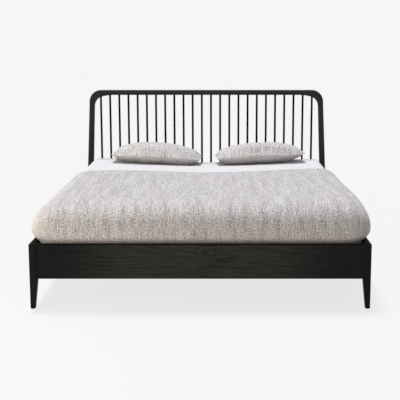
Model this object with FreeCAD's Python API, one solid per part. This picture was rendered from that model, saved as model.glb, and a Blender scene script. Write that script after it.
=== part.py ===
import FreeCAD, Part
import math
import os

from FreeCAD import Vector

# Spindle bed: a low timber frame on tapered legs, a headboard of round spindles in a rounded
# arch, slats on a centre beam, and the mattress, sheet, blanket and two pillows that lie on it.
#
# Millimetres. The origin is on the floor under the middle of the bed. X runs to the right as
# seen from the foot end, Y runs from the foot end to the headboard, Z is up. Sub-parts are
# modelled on the right-hand side and mirrored in X where the bed has a left-hand twin.

# Overall size
BED_WIDTH = 1930.0
BED_LENGTH = 2180.0
BED_HEIGHT = 1100.0

# Foot rail and side rails
RAIL_TOP = 375.0
RAIL_HEIGHT = 200.0
RAIL_THICKNESS = 30.0
RAIL_ROUNDING = 4.0
FOOT_RAIL_SETBACK = 4.0
RAIL_END_GAP = 0.2

# Foot legs: square at the rails, tapered on their two inner faces below them
LEG_FACE = 44.0
LEG_DEPTH = 48.0
LEG_FOOT_FACE = 28.0
LEG_FOOT_DEPTH = 30.0
LEG_CORNER_ROUNDING = 7.0
LEG_INNER_ROUNDING = 4.0
LEG_TOP_EASING = 2.0

# Glides under the foot legs and head posts
GLIDE_THICKNESS = 3.0
GLIDE_DIAMETER = 22.0
GLIDE_PIN_DIAMETER = 4.0
GLIDE_PIN_LENGTH = 14.0
GLIDE_PIN_FIT = 0.1

# Headboard arch: splayed posts, corner blocks and a straight top rail
FRAME_DEPTH = 40.0
FRAME_ROUNDING = 13.0
POST_WIDTH = 46.0
POST_FOOT_WIDTH = 34.0
POST_FOOT_DEPTH = 32.0
POST_LOWER_ROUNDING = 6.0
POST_OUTER_SPLAY = 0.0464
POST_INNER_SPLAY = 0.0400
TOP_RAIL_HEIGHT = 40.0
CORNER_OUTER_RADIUS = 93.0
CORNER_INNER_RADIUS = 82.0
CORNER_TAIL_RADIUS = 400.0
CORNER_TAIL_ANGLE = math.radians(14.0)
CORNER_TURN_STATIONS = 8
CORNER_TAIL_STATIONS = 2

# Lower rail of the headboard, which carries the spindles' feet
LOWER_RAIL_HEIGHT = 135.0
LOWER_RAIL_THICKNESS = 32.0
LOWER_RAIL_ROUNDING = 4.0

# Spindles
SPINDLE_COUNT = 24
SPINDLE_DIAMETER = 16.0
SPINDLE_MARGIN = 119.75
SPINDLE_SEAT = 20.0
SPINDLE_FIT = 0.1

# Mortise and tenon joints
TENON_LENGTH = 20.0
TENON_THICKNESS = 12.0
TENON_SHOULDER = 25.0
TENON_FIT = 0.1
TENON_END_GAP = 0.5

# Flat sides that stand for round ones: in a quarter of a rounded edge, in a spindle's hole, in
# dowels, bolts and pins with their holes, in discs, and in screws with their holes
EDGE_FACETS = 3
HOLE_FACETS = 10
SMALL_FACETS = 8
DISC_FACETS = 16
SCREW_FACETS = 6

# Dowels in the rail ends and in the arch
DOWEL_DIAMETER = 8.0
DOWEL_LENGTH = 44.0
DOWEL_FIT = 0.1
DOWEL_WALL = 1.2

# Bolts that hold the side rails, and the nuts in the rails' inner pockets
BOLT_DIAMETER = 8.0
BOLT_GRIP = 30.0
BOLT_WALL = 40.0
BOLT_TAIL = 14.0
BOLT_EDGE = 36.0
BOLT_FIT = 0.1
NUT_SIDES = 6
NUT_ACROSS_FLATS = 13.0
NUT_HEIGHT = 8.0
POCKET_LENGTH = 30.0
POCKET_HEIGHT = 24.0
POCKET_DEPTH = 24.0

# Slats, the cleats along the side rails, and the tapes that space the slats
SLAT_COUNT = 14
SLAT_WIDTH = 90.0
SLAT_THICKNESS = 18.0
SLAT_DROP = 40.0
SLAT_END_GAP = 3.0
SLAT_MARGIN = 34.0
SLAT_EASING = 3.0
CLEAT_HEIGHT = 40.0
CLEAT_THICKNESS = 25.0
CLEAT_END_GAP = 12.0
TAPE_WIDTH = 24.0
TAPE_THICKNESS = 1.0
TAPE_OFFSET = 430.0

# Screws
SCREW_DIAMETER = 5.0
SCREW_LENGTH = 40.0
SCREW_HEAD_DIAMETER = 9.0
SCREW_HEAD_HEIGHT = 3.0
SCREW_FIT = 0.1
CLEAT_SCREW_COUNT = 6
CLEAT_SCREW_MARGIN = 60.0
HANGER_SCREW_LENGTH = 24.0
HANGER_SCREW_SHARES = (0.25, 0.75)

# Centre beam, its steel hangers and its two legs
BEAM_WIDTH = 45.0
BEAM_HEIGHT = 60.0
HANGER_THICKNESS = 3.0
HANGER_DEPTH = 45.0
HANGER_FLANGE = 24.0
HANGER_FIT = 0.3
CENTRE_LEG_WIDTH = 45.0
CENTRE_LEG_EASING = 3.0
CENTRE_LEG_FRONT = -400.0
CENTRE_LEG_REAR = 450.0
CENTRE_BOLT_REACH = 30.0

# Levelling feet of the centre legs
LEVELLER_DIAMETER = 38.0
LEVELLER_HEIGHT = 8.0
LEVELLER_EASING = 2.0
LEVELLER_STEM_DIAMETER = 10.0
LEVELLER_STEM_LENGTH = 40.0
LEVELLER_GAP = 0.3
LEVELLER_BORE_END_GAP = 2.0

# Mattress and fitted sheet
MATTRESS_HEIGHT = 223.7
MATTRESS_SIDE_GAP = 35.0
MATTRESS_FOOT_GAP = 46.0
MATTRESS_HEAD_GAP = 60.0
MATTRESS_PLAN_RADIUS = 90.0
MATTRESS_EDGE_RADIUS = 40.0
MATTRESS_LOWER_EASING = 10.0
SOFT_GAP = 0.3
SHEET_THICKNESS = 2.5
SHEET_HEM_RISE = 10.0
EDGE_SECTIONS = 4

# Blanket: bulges over the rails, tucked inside them
BLANKET_THICKNESS = 34.0
BLANKET_TUCK_GAP = 3.0
BLANKET_BULGE_INSET = 5.0
BLANKET_FOOT_BULGE_INSET = 12.0
BLANKET_WIDEST_RISE = 78.0
BLANKET_TUCK_RISE = 3.0
BLANKET_SHOULDER = 165.0
BLANKET_SHOULDER_POWER = 2.4
BLANKET_PLAN_RADIUS = 110.0
BLANKET_COVER = 1265.0
BLANKET_END_ROUNDING = 14.0
BLANKET_END_POWER = 6
BLANKET_UNDER_SHARE = 0.25
BLANKET_UPPER_SECTIONS = 6

# Pillows
PILLOW_LENGTH = 700.0
PILLOW_DEPTH = 405.0
PILLOW_UPPER = 84.0
PILLOW_LOWER = 60.0
PILLOW_SHOULDER = 165.0
PILLOW_CORNER_RADIUS = 34.0
PILLOW_DRAW_IN = 15.0
PILLOW_SPACING = 806.0
PILLOW_SHIFT = 20.0
PILLOW_BACK_GAP = 7.0
PILLOW_CROWN_DRAW_IN = 0.2
PILLOW_SECTIONS = 9
DRAW_IN_SHARES = (0.25, 0.75)

# Places worked out from the sizes above
HALF_WIDTH = BED_WIDTH / 2
FOOT_FACE_Y = -BED_LENGTH / 2
BACK_Y = BED_LENGTH / 2
RAIL_BOTTOM = RAIL_TOP - RAIL_HEIGHT
LEG_INNER_X = HALF_WIDTH - LEG_FACE
LEG_BACK_Y = FOOT_FACE_Y + LEG_DEPTH
RAIL_INNER_X = HALF_WIDTH - RAIL_THICKNESS
RAIL_MIDDLE_X = HALF_WIDTH - RAIL_THICKNESS / 2
FOOT_RAIL_FRONT_Y = FOOT_FACE_Y + FOOT_RAIL_SETBACK
FOOT_RAIL_BACK_Y = FOOT_RAIL_FRONT_Y + RAIL_THICKNESS
FOOT_RAIL_MIDDLE_Y = FOOT_RAIL_FRONT_Y + RAIL_THICKNESS / 2
HEAD_FRONT_Y = BACK_Y - FRAME_DEPTH
HEAD_MIDDLE_Y = BACK_Y - FRAME_DEPTH / 2
LOWER_RAIL_FRONT_Y = HEAD_MIDDLE_Y - LOWER_RAIL_THICKNESS / 2
LOWER_RAIL_BOTTOM = RAIL_TOP - LOWER_RAIL_HEIGHT
POST_INNER_X = HALF_WIDTH - POST_WIDTH
UNDERSIDE_Z = BED_HEIGHT - TOP_RAIL_HEIGHT
SLAT_TOP = RAIL_TOP - SLAT_DROP
SLAT_BOTTOM = SLAT_TOP - SLAT_THICKNESS
BEAM_BOTTOM = SLAT_BOTTOM - BEAM_HEIGHT
LEVELLER_TOP = LEVELLER_HEIGHT + LEVELLER_GAP
MATTRESS_BOTTOM = SLAT_TOP + TAPE_THICKNESS + SOFT_GAP
MATTRESS_TOP = MATTRESS_BOTTOM + MATTRESS_HEIGHT
MATTRESS_HALF_WIDTH = RAIL_INNER_X - MATTRESS_SIDE_GAP
MATTRESS_FOOT_Y = FOOT_RAIL_BACK_Y + MATTRESS_FOOT_GAP
MATTRESS_HEAD_Y = HEAD_FRONT_Y - MATTRESS_HEAD_GAP
SHEET_TOP = MATTRESS_TOP + SHEET_THICKNESS
HEM_Z = MATTRESS_BOTTOM + SHEET_HEM_RISE

X_AXIS = Vector(1, 0, 0)
Y_AXIS = Vector(0, 1, 0)
Z_AXIS = Vector(0, 0, 1)
ORIGIN = Vector(0, 0, 0)
SIDES = (-1, 1)
BEAM_ENDS = ((FOOT_RAIL_BACK_Y, Y_AXIS), (LOWER_RAIL_FRONT_Y, Y_AXIS * -1))
RAIL_ENDS = ((LEG_BACK_Y, Y_AXIS), (HEAD_FRONT_Y, Y_AXIS * -1))
BOLT_HEIGHTS = (RAIL_BOTTOM + BOLT_EDGE, RAIL_TOP - BOLT_EDGE)
QUARTER_TURN = math.pi / 2

# Tolerances, and how far a cut runs past the face that it opens
PARALLEL = 1e-6
FLATNESS = 1e-7
CUT_PAST = 1.0


# Shared shapes

def block(x0, x1, y0, y1, z0, z1):
    """A plain block between two corners."""
    return Part.makeBox(x1 - x0, y1 - y0, z1 - z0, Vector(x0, y0, z0))


def ring(diameter, centre, axis, facets):
    """A closed polygon about an axis, with its flats at the diameter."""
    upright = abs(axis.z) > abs(axis.x) + abs(axis.y)
    across = Vector(X_AXIS if upright else Z_AXIS)
    other = Vector(axis).normalize().cross(across)
    radius = diameter / 2 / math.cos(math.pi / facets)
    turns = [2 * math.pi * (index + 0.5) / facets for index in range(facets + 1)]
    return Part.makePolygon([centre + across * radius * math.cos(turn)
                             + other * radius * math.sin(turn) for turn in turns])


def rod(diameter, start, end, facets=SMALL_FACETS):
    """A bar with flat sides from one point to another."""
    return Part.Face(ring(diameter, start, end - start, facets)).extrude(end - start)


def mirrored(shape):
    """The left-hand twin of a right-hand shape."""
    return shape.mirror(ORIGIN, X_AXIS)


def runs_along(edge, axis):
    """True for a straight edge that is parallel to the axis."""
    start, end = edge.Vertexes[0].Point, edge.Vertexes[-1].Point
    span = end - start
    return span.Length > 0 and span.cross(axis).Length < PARALLEL * span.Length


def rounded_bar(x0, x1, y0, y1, z0, z1, axis, radius):
    """A block with the four edges along one axis rounded."""
    bar = block(x0, x1, y0, y1, z0, z1)
    return bar.makeFillet(radius, [edge for edge in bar.Edges if runs_along(edge, axis)])


def eased_bar(x0, x1, y0, y1, z0, z1, axis, easing):
    """A block with the four edges along one axis chamfered."""
    bar = block(x0, x1, y0, y1, z0, z1)
    return bar.makeChamfer(easing, [edge for edge in bar.Edges if runs_along(edge, axis)])


def straight_edges(points):
    """Straight edges through the points and back to the first."""
    return [Part.makeLine(start, end) for start, end in zip(points, points[1:] + points[:1])]


def rounded_outline(x0, x1, y0, y1, z, radius, draw_in=0.0):
    """Edges of a level rectangle with arcs at its corners and sides drawn in between them."""
    middle_x, middle_y = (x0 + x1) / 2, (y0 + y1) / 2
    arcs = []
    for turn, (x, y) in enumerate(((x1, y0), (x1, y1), (x0, y1), (x0, y0))):
        centre = Vector(x - math.copysign(radius, x - middle_x),
                        y - math.copysign(radius, y - middle_y), z)
        start = (turn - 1) * QUARTER_TURN
        arcs.append(Part.ArcOfCircle(Part.Circle(centre, Z_AXIS, radius),
                                     start, start + QUARTER_TURN))
    edges = []
    for arc, following in zip(arcs, arcs[1:] + arcs[:1]):
        edges.append(arc.toShape())
        points = [arc.EndPoint, following.StartPoint]
        if draw_in:
            inward = (points[1] - points[0]).cross(Z_AXIS).normalize() * -draw_in
            points[1:1] = [points[0] + (points[1] - points[0]) * share + inward
                           for share in DRAW_IN_SHARES]
        edges += [Part.makeLine(start, end) for start, end in zip(points, points[1:])]
    return edges


def faceted_outline(middle, across, half_width, half_depth, radii):
    """Edges of a rectangle about a middle, its corners rounded by a few flats."""
    points = []
    corners = ((1, 1), (-1, 1), (-1, -1), (1, -1))
    for turn, ((side_x, side_y), radius) in enumerate(zip(corners, radii)):
        for facet in range(EDGE_FACETS + 1):
            angle = QUARTER_TURN * (turn + facet / EDGE_FACETS)
            offset_x = side_x * (half_width - radius) + radius * math.cos(angle)
            offset_y = side_y * (half_depth - radius) + radius * math.sin(angle)
            points.append(middle + across * offset_x + Y_AXIS * offset_y)
    return straight_edges(points)


def level_outline(x0, x1, y0, y1, z, radii):
    """A level faceted outline between two corners."""
    middle = Vector((x0 + x1) / 2, (y0 + y1) / 2, z)
    return faceted_outline(middle, X_AXIS, (x1 - x0) / 2, (y1 - y0) / 2, radii)


def wall(lower, upper):
    """The faces between two edges: one flat, two triangles, or a ruled face between arcs."""
    a, b = lower.Vertexes[0].Point, lower.Vertexes[-1].Point
    c, d = upper.Vertexes[-1].Point, upper.Vertexes[0].Point
    if not isinstance(lower.Curve, Part.Line):
        return [Part.makeRuledSurface(lower, upper)]
    normal = (b - a).cross(d - a)
    if abs(normal.dot(c - a)) < FLATNESS * normal.Length:
        return [Part.Face(Part.makePolygon([a, b, c, d, a]))]
    return [Part.Face(Part.makePolygon([a, b, c, a])), Part.Face(Part.makePolygon([a, c, d, a]))]


def skin(outlines):
    """A closed solid through outlines with matching edges, ruled from each to the next."""
    faces = [Part.Face(Part.Wire(outlines[0])), Part.Face(Part.Wire(outlines[-1]))]
    for lower, upper in zip(outlines, outlines[1:]):
        for first, second in zip(lower, upper):
            faces += wall(first, second)
    shell = Part.makeShell(faces)
    shell.sewShape()
    solid = Part.Solid(shell)
    return solid if solid.Volume > 0 else solid.reversed()


def bored(shape, tools):
    """The shape with every tool cut out of it."""
    return shape.cut(Part.makeCompound(tools))


# Foot legs and rails

def tenon(x_shoulder, y_middle, z0, z1, grown=0.0, extra=0.0):
    """A tenon that points outward from its shoulder, or the mortise for it when grown."""
    half = TENON_THICKNESS / 2 + grown
    return block(x_shoulder - extra, x_shoulder + TENON_LENGTH + extra,
                 y_middle - half, y_middle + half,
                 z0 + TENON_SHOULDER - grown, z1 - TENON_SHOULDER + grown)


def glide_point(side, at_head):
    """Where the glide's centre line meets the floor, under a foot leg or a head post."""
    if at_head:
        return Vector(side * (HALF_WIDTH - POST_FOOT_WIDTH / 2), BACK_Y - POST_FOOT_DEPTH / 2, 0)
    return Vector(side * (HALF_WIDTH - LEG_FOOT_FACE / 2), FOOT_FACE_Y + LEG_FOOT_DEPTH / 2, 0)


def glide_pin(side, at_head, grown=0.0):
    """The pin that holds a glide in the wood, or the hole for it when grown."""
    foot = glide_point(side, at_head)
    base = foot + Z_AXIS * GLIDE_THICKNESS / 2
    tip = foot + Z_AXIS * (GLIDE_THICKNESS + GLIDE_PIN_LENGTH + grown)
    return rod(GLIDE_PIN_DIAMETER + 2 * grown, base, tip)


def leg_glides():
    """Four round glides, each with its pin."""
    glides = []
    for side in SIDES:
        for at_head in (False, True):
            foot = glide_point(side, at_head)
            disc = rod(GLIDE_DIAMETER, foot, foot + Z_AXIS * GLIDE_THICKNESS, DISC_FACETS)
            glides.append(disc.fuse(glide_pin(side, at_head)).removeSplitter())
    return Part.makeCompound(glides)


def bolts_at(y, inward, grown=0.0):
    """Two bolts through one end of the right side rail, or the bores for them when grown."""
    rods = []
    for z in BOLT_HEIGHTS:
        seat = Vector(RAIL_MIDDLE_X, y, z)
        rods.append(rod(BOLT_DIAMETER + 2 * grown,
                        seat - inward * (BOLT_GRIP + grown),
                        seat + inward * (BOLT_WALL + BOLT_TAIL + grown)))
    return rods


def rail_dowel(y, inward, grown=0.0):
    """The dowel that locates one end of the right side rail."""
    seat = Vector(RAIL_MIDDLE_X, y, RAIL_BOTTOM + RAIL_HEIGHT / 2)
    reach = DOWEL_LENGTH / 2 + grown
    return rod(DOWEL_DIAMETER + 2 * grown, seat - inward * reach, seat + inward * reach)


def foot_leg():
    """Right foot leg: outer faces upright, inner faces tapered below the rails."""
    levels = ((GLIDE_THICKNESS, LEG_FOOT_FACE, LEG_FOOT_DEPTH, 0.0),
              (RAIL_BOTTOM, LEG_FACE, LEG_DEPTH, 0.0),
              (RAIL_TOP - LEG_TOP_EASING, LEG_FACE, LEG_DEPTH, 0.0),
              (RAIL_TOP, LEG_FACE, LEG_DEPTH, LEG_TOP_EASING))
    outlines = []
    for z, face, depth, inset in levels:
        inner, outer = LEG_INNER_ROUNDING - inset, LEG_CORNER_ROUNDING - inset
        outlines.append(level_outline(HALF_WIDTH - face + inset, HALF_WIDTH - inset,
                                      FOOT_FACE_Y + inset, FOOT_FACE_Y + depth - inset, z,
                                      (inner, inner, inner, outer)))
    mortise = tenon(LEG_INNER_X, FOOT_RAIL_MIDDLE_Y, RAIL_BOTTOM, RAIL_TOP, TENON_FIT,
                    TENON_END_GAP)
    y, inward = RAIL_ENDS[0]
    return bored(skin(outlines), [mortise, rail_dowel(y, inward, DOWEL_FIT),
                                  glide_pin(1, False, GLIDE_PIN_FIT)]
                 + bolts_at(y, inward, BOLT_FIT))


def foot_rail():
    """Rail across the foot end, tenoned into both legs."""
    rail = rounded_bar(-LEG_INNER_X, LEG_INNER_X, FOOT_RAIL_FRONT_Y, FOOT_RAIL_BACK_Y,
                       RAIL_BOTTOM, RAIL_TOP, X_AXIS, RAIL_ROUNDING)
    right = tenon(LEG_INNER_X, FOOT_RAIL_MIDDLE_Y, RAIL_BOTTOM, RAIL_TOP)
    rail = rail.fuse([right, mirrored(right)])
    return bored(rail, hanger_screw_holes(*BEAM_ENDS[0]))


def nut_pocket(y, inward, z):
    """Pocket in the inner face of the right side rail, where the nut is turned."""
    near = y + inward.y * BOLT_WALL
    far = near + inward.y * POCKET_LENGTH
    return block(RAIL_INNER_X, RAIL_INNER_X + POCKET_DEPTH, min(near, far), max(near, far),
                 z - POCKET_HEIGHT / 2, z + POCKET_HEIGHT / 2)


def side_rail():
    """Right side rail, bolted between the foot leg and the head post."""
    rail = rounded_bar(RAIL_INNER_X, HALF_WIDTH, LEG_BACK_Y + RAIL_END_GAP,
                       HEAD_FRONT_Y - RAIL_END_GAP, RAIL_BOTTOM, RAIL_TOP, Y_AXIS, RAIL_ROUNDING)
    cuts = screw_holes(cleat_seats(), X_AXIS, SCREW_LENGTH)
    for y, inward in RAIL_ENDS:
        cuts += bolts_at(y, inward, BOLT_FIT)
        cuts.append(rail_dowel(y, inward, DOWEL_FIT))
        cuts += [nut_pocket(y, inward, z) for z in BOLT_HEIGHTS]
    return bored(rail, cuts)


def bed_bolts():
    """Eight bolts, two at each end of each side rail."""
    right = [bolt for y, inward in RAIL_ENDS for bolt in bolts_at(y, inward)]
    return Part.makeCompound(right + [mirrored(bolt) for bolt in right])


def rail_nut(seat, inward):
    """A hexagon nut against the wall of its pocket."""
    hexagon = rod(NUT_ACROSS_FLATS, seat, seat + inward * NUT_HEIGHT, NUT_SIDES)
    bore = rod(BOLT_DIAMETER + 2 * BOLT_FIT, seat - inward * CUT_PAST,
               seat + inward * (NUT_HEIGHT + CUT_PAST))
    return hexagon.cut(bore)


def rail_nuts():
    """Eight nuts in the pockets of the side rails."""
    right = []
    for y, inward in RAIL_ENDS:
        for z in BOLT_HEIGHTS:
            right.append(rail_nut(Vector(RAIL_MIDDLE_X, y, z) + inward * BOLT_WALL, inward))
    return Part.makeCompound(right + [mirrored(nut) for nut in right])


def rail_dowels():
    """Four dowels in the ends of the side rails."""
    right = [rail_dowel(y, inward) for y, inward in RAIL_ENDS]
    return Part.makeCompound(right + [mirrored(dowel) for dowel in right])


# Headboard

def outer_x(z):
    """Outer face of the right head post at a height above the rails."""
    return HALF_WIDTH - POST_OUTER_SPLAY * (z - RAIL_TOP)


def inner_x(z):
    """Inner face of the right head post at a height above the rails."""
    return POST_INNER_X - POST_INNER_SPLAY * (z - RAIL_TOP)


def inner_curve():
    """The arch's inner line at the right corner: centres of its two arcs and its three ends."""
    lean = math.atan(POST_INNER_SPLAY)
    tail_run = CORNER_TAIL_RADIUS * math.sin(CORNER_TAIL_ANGLE)
    tail_drop = CORNER_TAIL_RADIUS * (1 - math.cos(CORNER_TAIL_ANGLE))
    turn_run = CORNER_INNER_RADIUS * (math.cos(lean) - math.sin(CORNER_TAIL_ANGLE))
    turn_drop = CORNER_INNER_RADIUS * (math.cos(CORNER_TAIL_ANGLE) - math.sin(lean))
    foot_z = UNDERSIDE_Z - tail_drop - turn_drop
    foot = Vector(inner_x(foot_z), HEAD_FRONT_Y, foot_z)
    join = foot + Vector(-turn_run, 0, turn_drop)
    start = join + Vector(-tail_run, 0, tail_drop)
    tail_centre = start - Z_AXIS * CORNER_TAIL_RADIUS
    turn_centre = foot - Vector(math.cos(lean), 0, math.sin(lean)) * CORNER_INNER_RADIUS
    return tail_centre, turn_centre, start, join, foot


def underside(x):
    """Height of the arch's underside above a point on the X axis."""
    tail_centre, turn_centre, start, join, foot = inner_curve()
    x = abs(x)
    if x <= start.x:
        return UNDERSIDE_Z
    if x <= join.x:
        return tail_centre.z + math.sqrt(CORNER_TAIL_RADIUS ** 2 - (x - tail_centre.x) ** 2)
    return turn_centre.z + math.sqrt(CORNER_INNER_RADIUS ** 2 - (x - turn_centre.x) ** 2)


def spindle_places():
    """X of each spindle, from left to right."""
    pitch = (BED_WIDTH - 2 * SPINDLE_MARGIN) / (SPINDLE_COUNT - 1)
    return [(index - (SPINDLE_COUNT - 1) / 2) * pitch for index in range(SPINDLE_COUNT)]


def spindle_ends(x, grown=0.0):
    """The seats of a spindle in the lower rail and in the arch."""
    return (Vector(x, HEAD_MIDDLE_Y, RAIL_TOP - SPINDLE_SEAT - grown),
            Vector(x, HEAD_MIDDLE_Y, underside(x) + SPINDLE_SEAT + grown))


def spindle(x):
    """One round spindle, seated at both ends."""
    foot, head = spindle_ends(x)
    return Part.makeCylinder(SPINDLE_DIAMETER / 2, head.z - foot.z, foot, Z_AXIS)


def spindle_holes():
    """Every spindle's hole, for the rails and corners that it enters."""
    return [rod(SPINDLE_DIAMETER + 2 * SPINDLE_FIT, *spindle_ends(x, SPINDLE_FIT),
                HOLE_FACETS) for x in spindle_places()]


def arc_between(centre, start, end):
    """The short arc about a centre from one point to another."""
    bisector = (start - centre) + (end - centre)
    bisector.normalize()
    return Part.Arc(start, centre + bisector * (start - centre).Length, end).toShape()


def arch_dowels_at(seat, along, grown=0.0):
    """Two dowels through a joint of the arch, on either side of the spindles' line."""
    offset = SPINDLE_DIAMETER / 2 + DOWEL_WALL + DOWEL_DIAMETER / 2
    reach = along * (DOWEL_LENGTH / 2 + grown)
    dowels = []
    for side in SIDES:
        middle = Vector(seat.x, HEAD_MIDDLE_Y + side * offset, seat.z)
        dowels.append(rod(DOWEL_DIAMETER + 2 * grown, middle - reach, middle + reach))
    return dowels


def arch_dowels_right(grown=0.0):
    """Dowels at both ends of the right corner block."""
    _, _, start, _, foot = inner_curve()
    at_post = Vector((outer_x(foot.z) + foot.x) / 2, HEAD_MIDDLE_Y, foot.z)
    at_rail = Vector(start.x, HEAD_MIDDLE_Y, BED_HEIGHT - TOP_RAIL_HEIGHT / 2)
    return arch_dowels_at(at_post, Z_AXIS, grown) + arch_dowels_at(at_rail, X_AXIS, grown)


def arch_dowels():
    """Eight dowels in the four joints of the arch."""
    right = arch_dowels_right()
    return Part.makeCompound(right + [mirrored(dowel) for dowel in right])


def arch_section(inner, outer):
    """The arch's rounded section, across the line from an inner to an outer point."""
    across = outer - inner
    half_width = across.Length / 2
    return faceted_outline((inner + outer) / 2, across.normalize(), half_width,
                           FRAME_DEPTH / 2, (FRAME_ROUNDING,) * 4)


def outer_point(centre, angle):
    """Where a ray from a centre, inside the arch, meets the arch's outer line."""
    ray = Vector(math.cos(angle), 0, math.sin(angle))
    lean = math.atan(POST_OUTER_SPLAY)
    turn_centre_z = BED_HEIGHT - CORNER_OUTER_RADIUS
    turn_centre = Vector(outer_x(turn_centre_z) - CORNER_OUTER_RADIUS / math.cos(lean),
                         centre.y, turn_centre_z)
    reach = (outer_x(centre.z) - centre.x) / (ray.x + POST_OUTER_SPLAY * ray.z)
    on_post = centre + ray * reach
    if on_post.z <= turn_centre_z + CORNER_OUTER_RADIUS * math.sin(lean):
        return on_post
    on_top = centre + ray * ((BED_HEIGHT - centre.z) / ray.z)
    if on_top.x <= turn_centre.x:
        return on_top
    offset = centre - turn_centre
    along = offset.dot(ray)
    return centre + ray * (math.sqrt(along ** 2 - offset.Length ** 2 + CORNER_OUTER_RADIUS ** 2)
                           - along)


def corner_stations():
    """Inner and outer points of the right corner block, from the post to the top rail."""
    tail_centre, turn_centre, *_ = inner_curve()
    lean = math.atan(POST_INNER_SPLAY)
    turn_end = QUARTER_TURN - CORNER_TAIL_ANGLE
    rays = [(turn_centre, CORNER_INNER_RADIUS, lean + (turn_end - lean) * index
             / (CORNER_TURN_STATIONS - 1)) for index in range(CORNER_TURN_STATIONS)]
    rays += [(tail_centre, CORNER_TAIL_RADIUS, turn_end + CORNER_TAIL_ANGLE * (index + 1)
              / CORNER_TAIL_STATIONS) for index in range(CORNER_TAIL_STATIONS)]
    stations = []
    for centre, radius, angle in rays:
        centre = Vector(centre.x, HEAD_MIDDLE_Y, centre.z)
        inner = centre + Vector(math.cos(angle), 0, math.sin(angle)) * radius
        stations.append((inner, outer_point(centre, angle)))
    return stations


def head_corner():
    """Right corner block: a round outer corner and a fuller, tailing inner curve."""
    corner = skin([arch_section(*station) for station in corner_stations()])
    return bored(corner, spindle_holes() + arch_dowels_right(DOWEL_FIT))


def head_post():
    """Right head post: splayed above the rails, square at them, tapered to the floor."""
    radii = (POST_LOWER_ROUNDING,) * 4
    sections = [level_outline(HALF_WIDTH - POST_FOOT_WIDTH, HALF_WIDTH,
                              BACK_Y - POST_FOOT_DEPTH, BACK_Y, GLIDE_THICKNESS, radii)]
    sections += [level_outline(POST_INNER_X, HALF_WIDTH, HEAD_FRONT_Y, BACK_Y, z, radii)
                 for z in (RAIL_BOTTOM, RAIL_TOP)]
    sections.append(arch_section(*corner_stations()[0]))
    post = skin(sections)
    mortise = tenon(POST_INNER_X, HEAD_MIDDLE_Y, LOWER_RAIL_BOTTOM, RAIL_TOP, TENON_FIT,
                    TENON_END_GAP)
    y, inward = RAIL_ENDS[1]
    return bored(post, [mortise, rail_dowel(y, inward, DOWEL_FIT),
                        glide_pin(1, True, GLIDE_PIN_FIT)]
                 + bolts_at(y, inward, BOLT_FIT) + arch_dowels_right(DOWEL_FIT))


def head_top_rail():
    """Straight top rail between the corner blocks, drilled from below for the spindles."""
    inner, outer = corner_stations()[-1]
    rail = Part.Face(Part.Wire(arch_section(inner, outer))).extrude(X_AXIS * -2 * inner.x)
    right = arch_dowels_right(DOWEL_FIT)
    return bored(rail, spindle_holes() + right + [mirrored(dowel) for dowel in right])


def head_lower_rail():
    """Rail behind the mattress, tenoned into the posts and drilled for the spindles."""
    rail = rounded_bar(-POST_INNER_X, POST_INNER_X, LOWER_RAIL_FRONT_Y,
                       LOWER_RAIL_FRONT_Y + LOWER_RAIL_THICKNESS, LOWER_RAIL_BOTTOM, RAIL_TOP,
                       X_AXIS, LOWER_RAIL_ROUNDING)
    right = tenon(POST_INNER_X, HEAD_MIDDLE_Y, LOWER_RAIL_BOTTOM, RAIL_TOP)
    rail = rail.fuse([right, mirrored(right)])
    return bored(rail, spindle_holes() + hanger_screw_holes(*BEAM_ENDS[1]))


# Slats, cleats and centre beam

def screw_holes(seats, direction, length):
    """Holes for the shanks of screws that point one way from their seats."""
    return [rod(SCREW_DIAMETER + 2 * SCREW_FIT, seat - direction * SCREW_FIT,
                seat + direction * (length + SCREW_FIT), SCREW_FACETS) for seat in seats]


def screws(seats, direction, length):
    """Screws that point one way, each with its head against its seat."""
    return [rod(SCREW_HEAD_DIAMETER, seat - direction * SCREW_HEAD_HEIGHT, seat, SCREW_FACETS)
            .fuse(rod(SCREW_DIAMETER, seat, seat + direction * length, SCREW_FACETS))
            for seat in seats]


def cleat_span():
    """Y of the two ends of a cleat."""
    return LEG_BACK_Y + CLEAT_END_GAP, HEAD_FRONT_Y - CLEAT_END_GAP


def cleat_seats():
    """Seats of the screws through the right cleat into its side rail."""
    start, end = cleat_span()
    start, end = start + CLEAT_SCREW_MARGIN, end - CLEAT_SCREW_MARGIN
    step = (end - start) / (CLEAT_SCREW_COUNT - 1)
    z = SLAT_BOTTOM - CLEAT_HEIGHT / 2
    return [Vector(RAIL_INNER_X - CLEAT_THICKNESS, start + index * step, z)
            for index in range(CLEAT_SCREW_COUNT)]


def cleat_screws():
    """Every screw of both cleats."""
    right = screws(cleat_seats(), X_AXIS, SCREW_LENGTH)
    return Part.makeCompound(right + [mirrored(item) for item in right])


def side_cleat():
    """Right cleat, on which the slats' ends lie."""
    start, end = cleat_span()
    cleat = eased_bar(RAIL_INNER_X - CLEAT_THICKNESS, RAIL_INNER_X, start, end,
                      SLAT_BOTTOM - CLEAT_HEIGHT, SLAT_BOTTOM, Y_AXIS, SLAT_EASING)
    return bored(cleat, screw_holes(cleat_seats(), X_AXIS, SCREW_LENGTH))


def slats():
    """The slats, evenly spaced between the foot rail and the lower rail."""
    start = FOOT_RAIL_BACK_Y + SLAT_MARGIN
    end = LOWER_RAIL_FRONT_Y - SLAT_MARGIN - SLAT_WIDTH
    step = (end - start) / (SLAT_COUNT - 1)
    half = RAIL_INNER_X - SLAT_END_GAP
    return Part.makeCompound([
        eased_bar(-half, half, start + index * step, start + index * step + SLAT_WIDTH,
                  SLAT_BOTTOM, SLAT_TOP, X_AXIS, SLAT_EASING)
        for index in range(SLAT_COUNT)])


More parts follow.
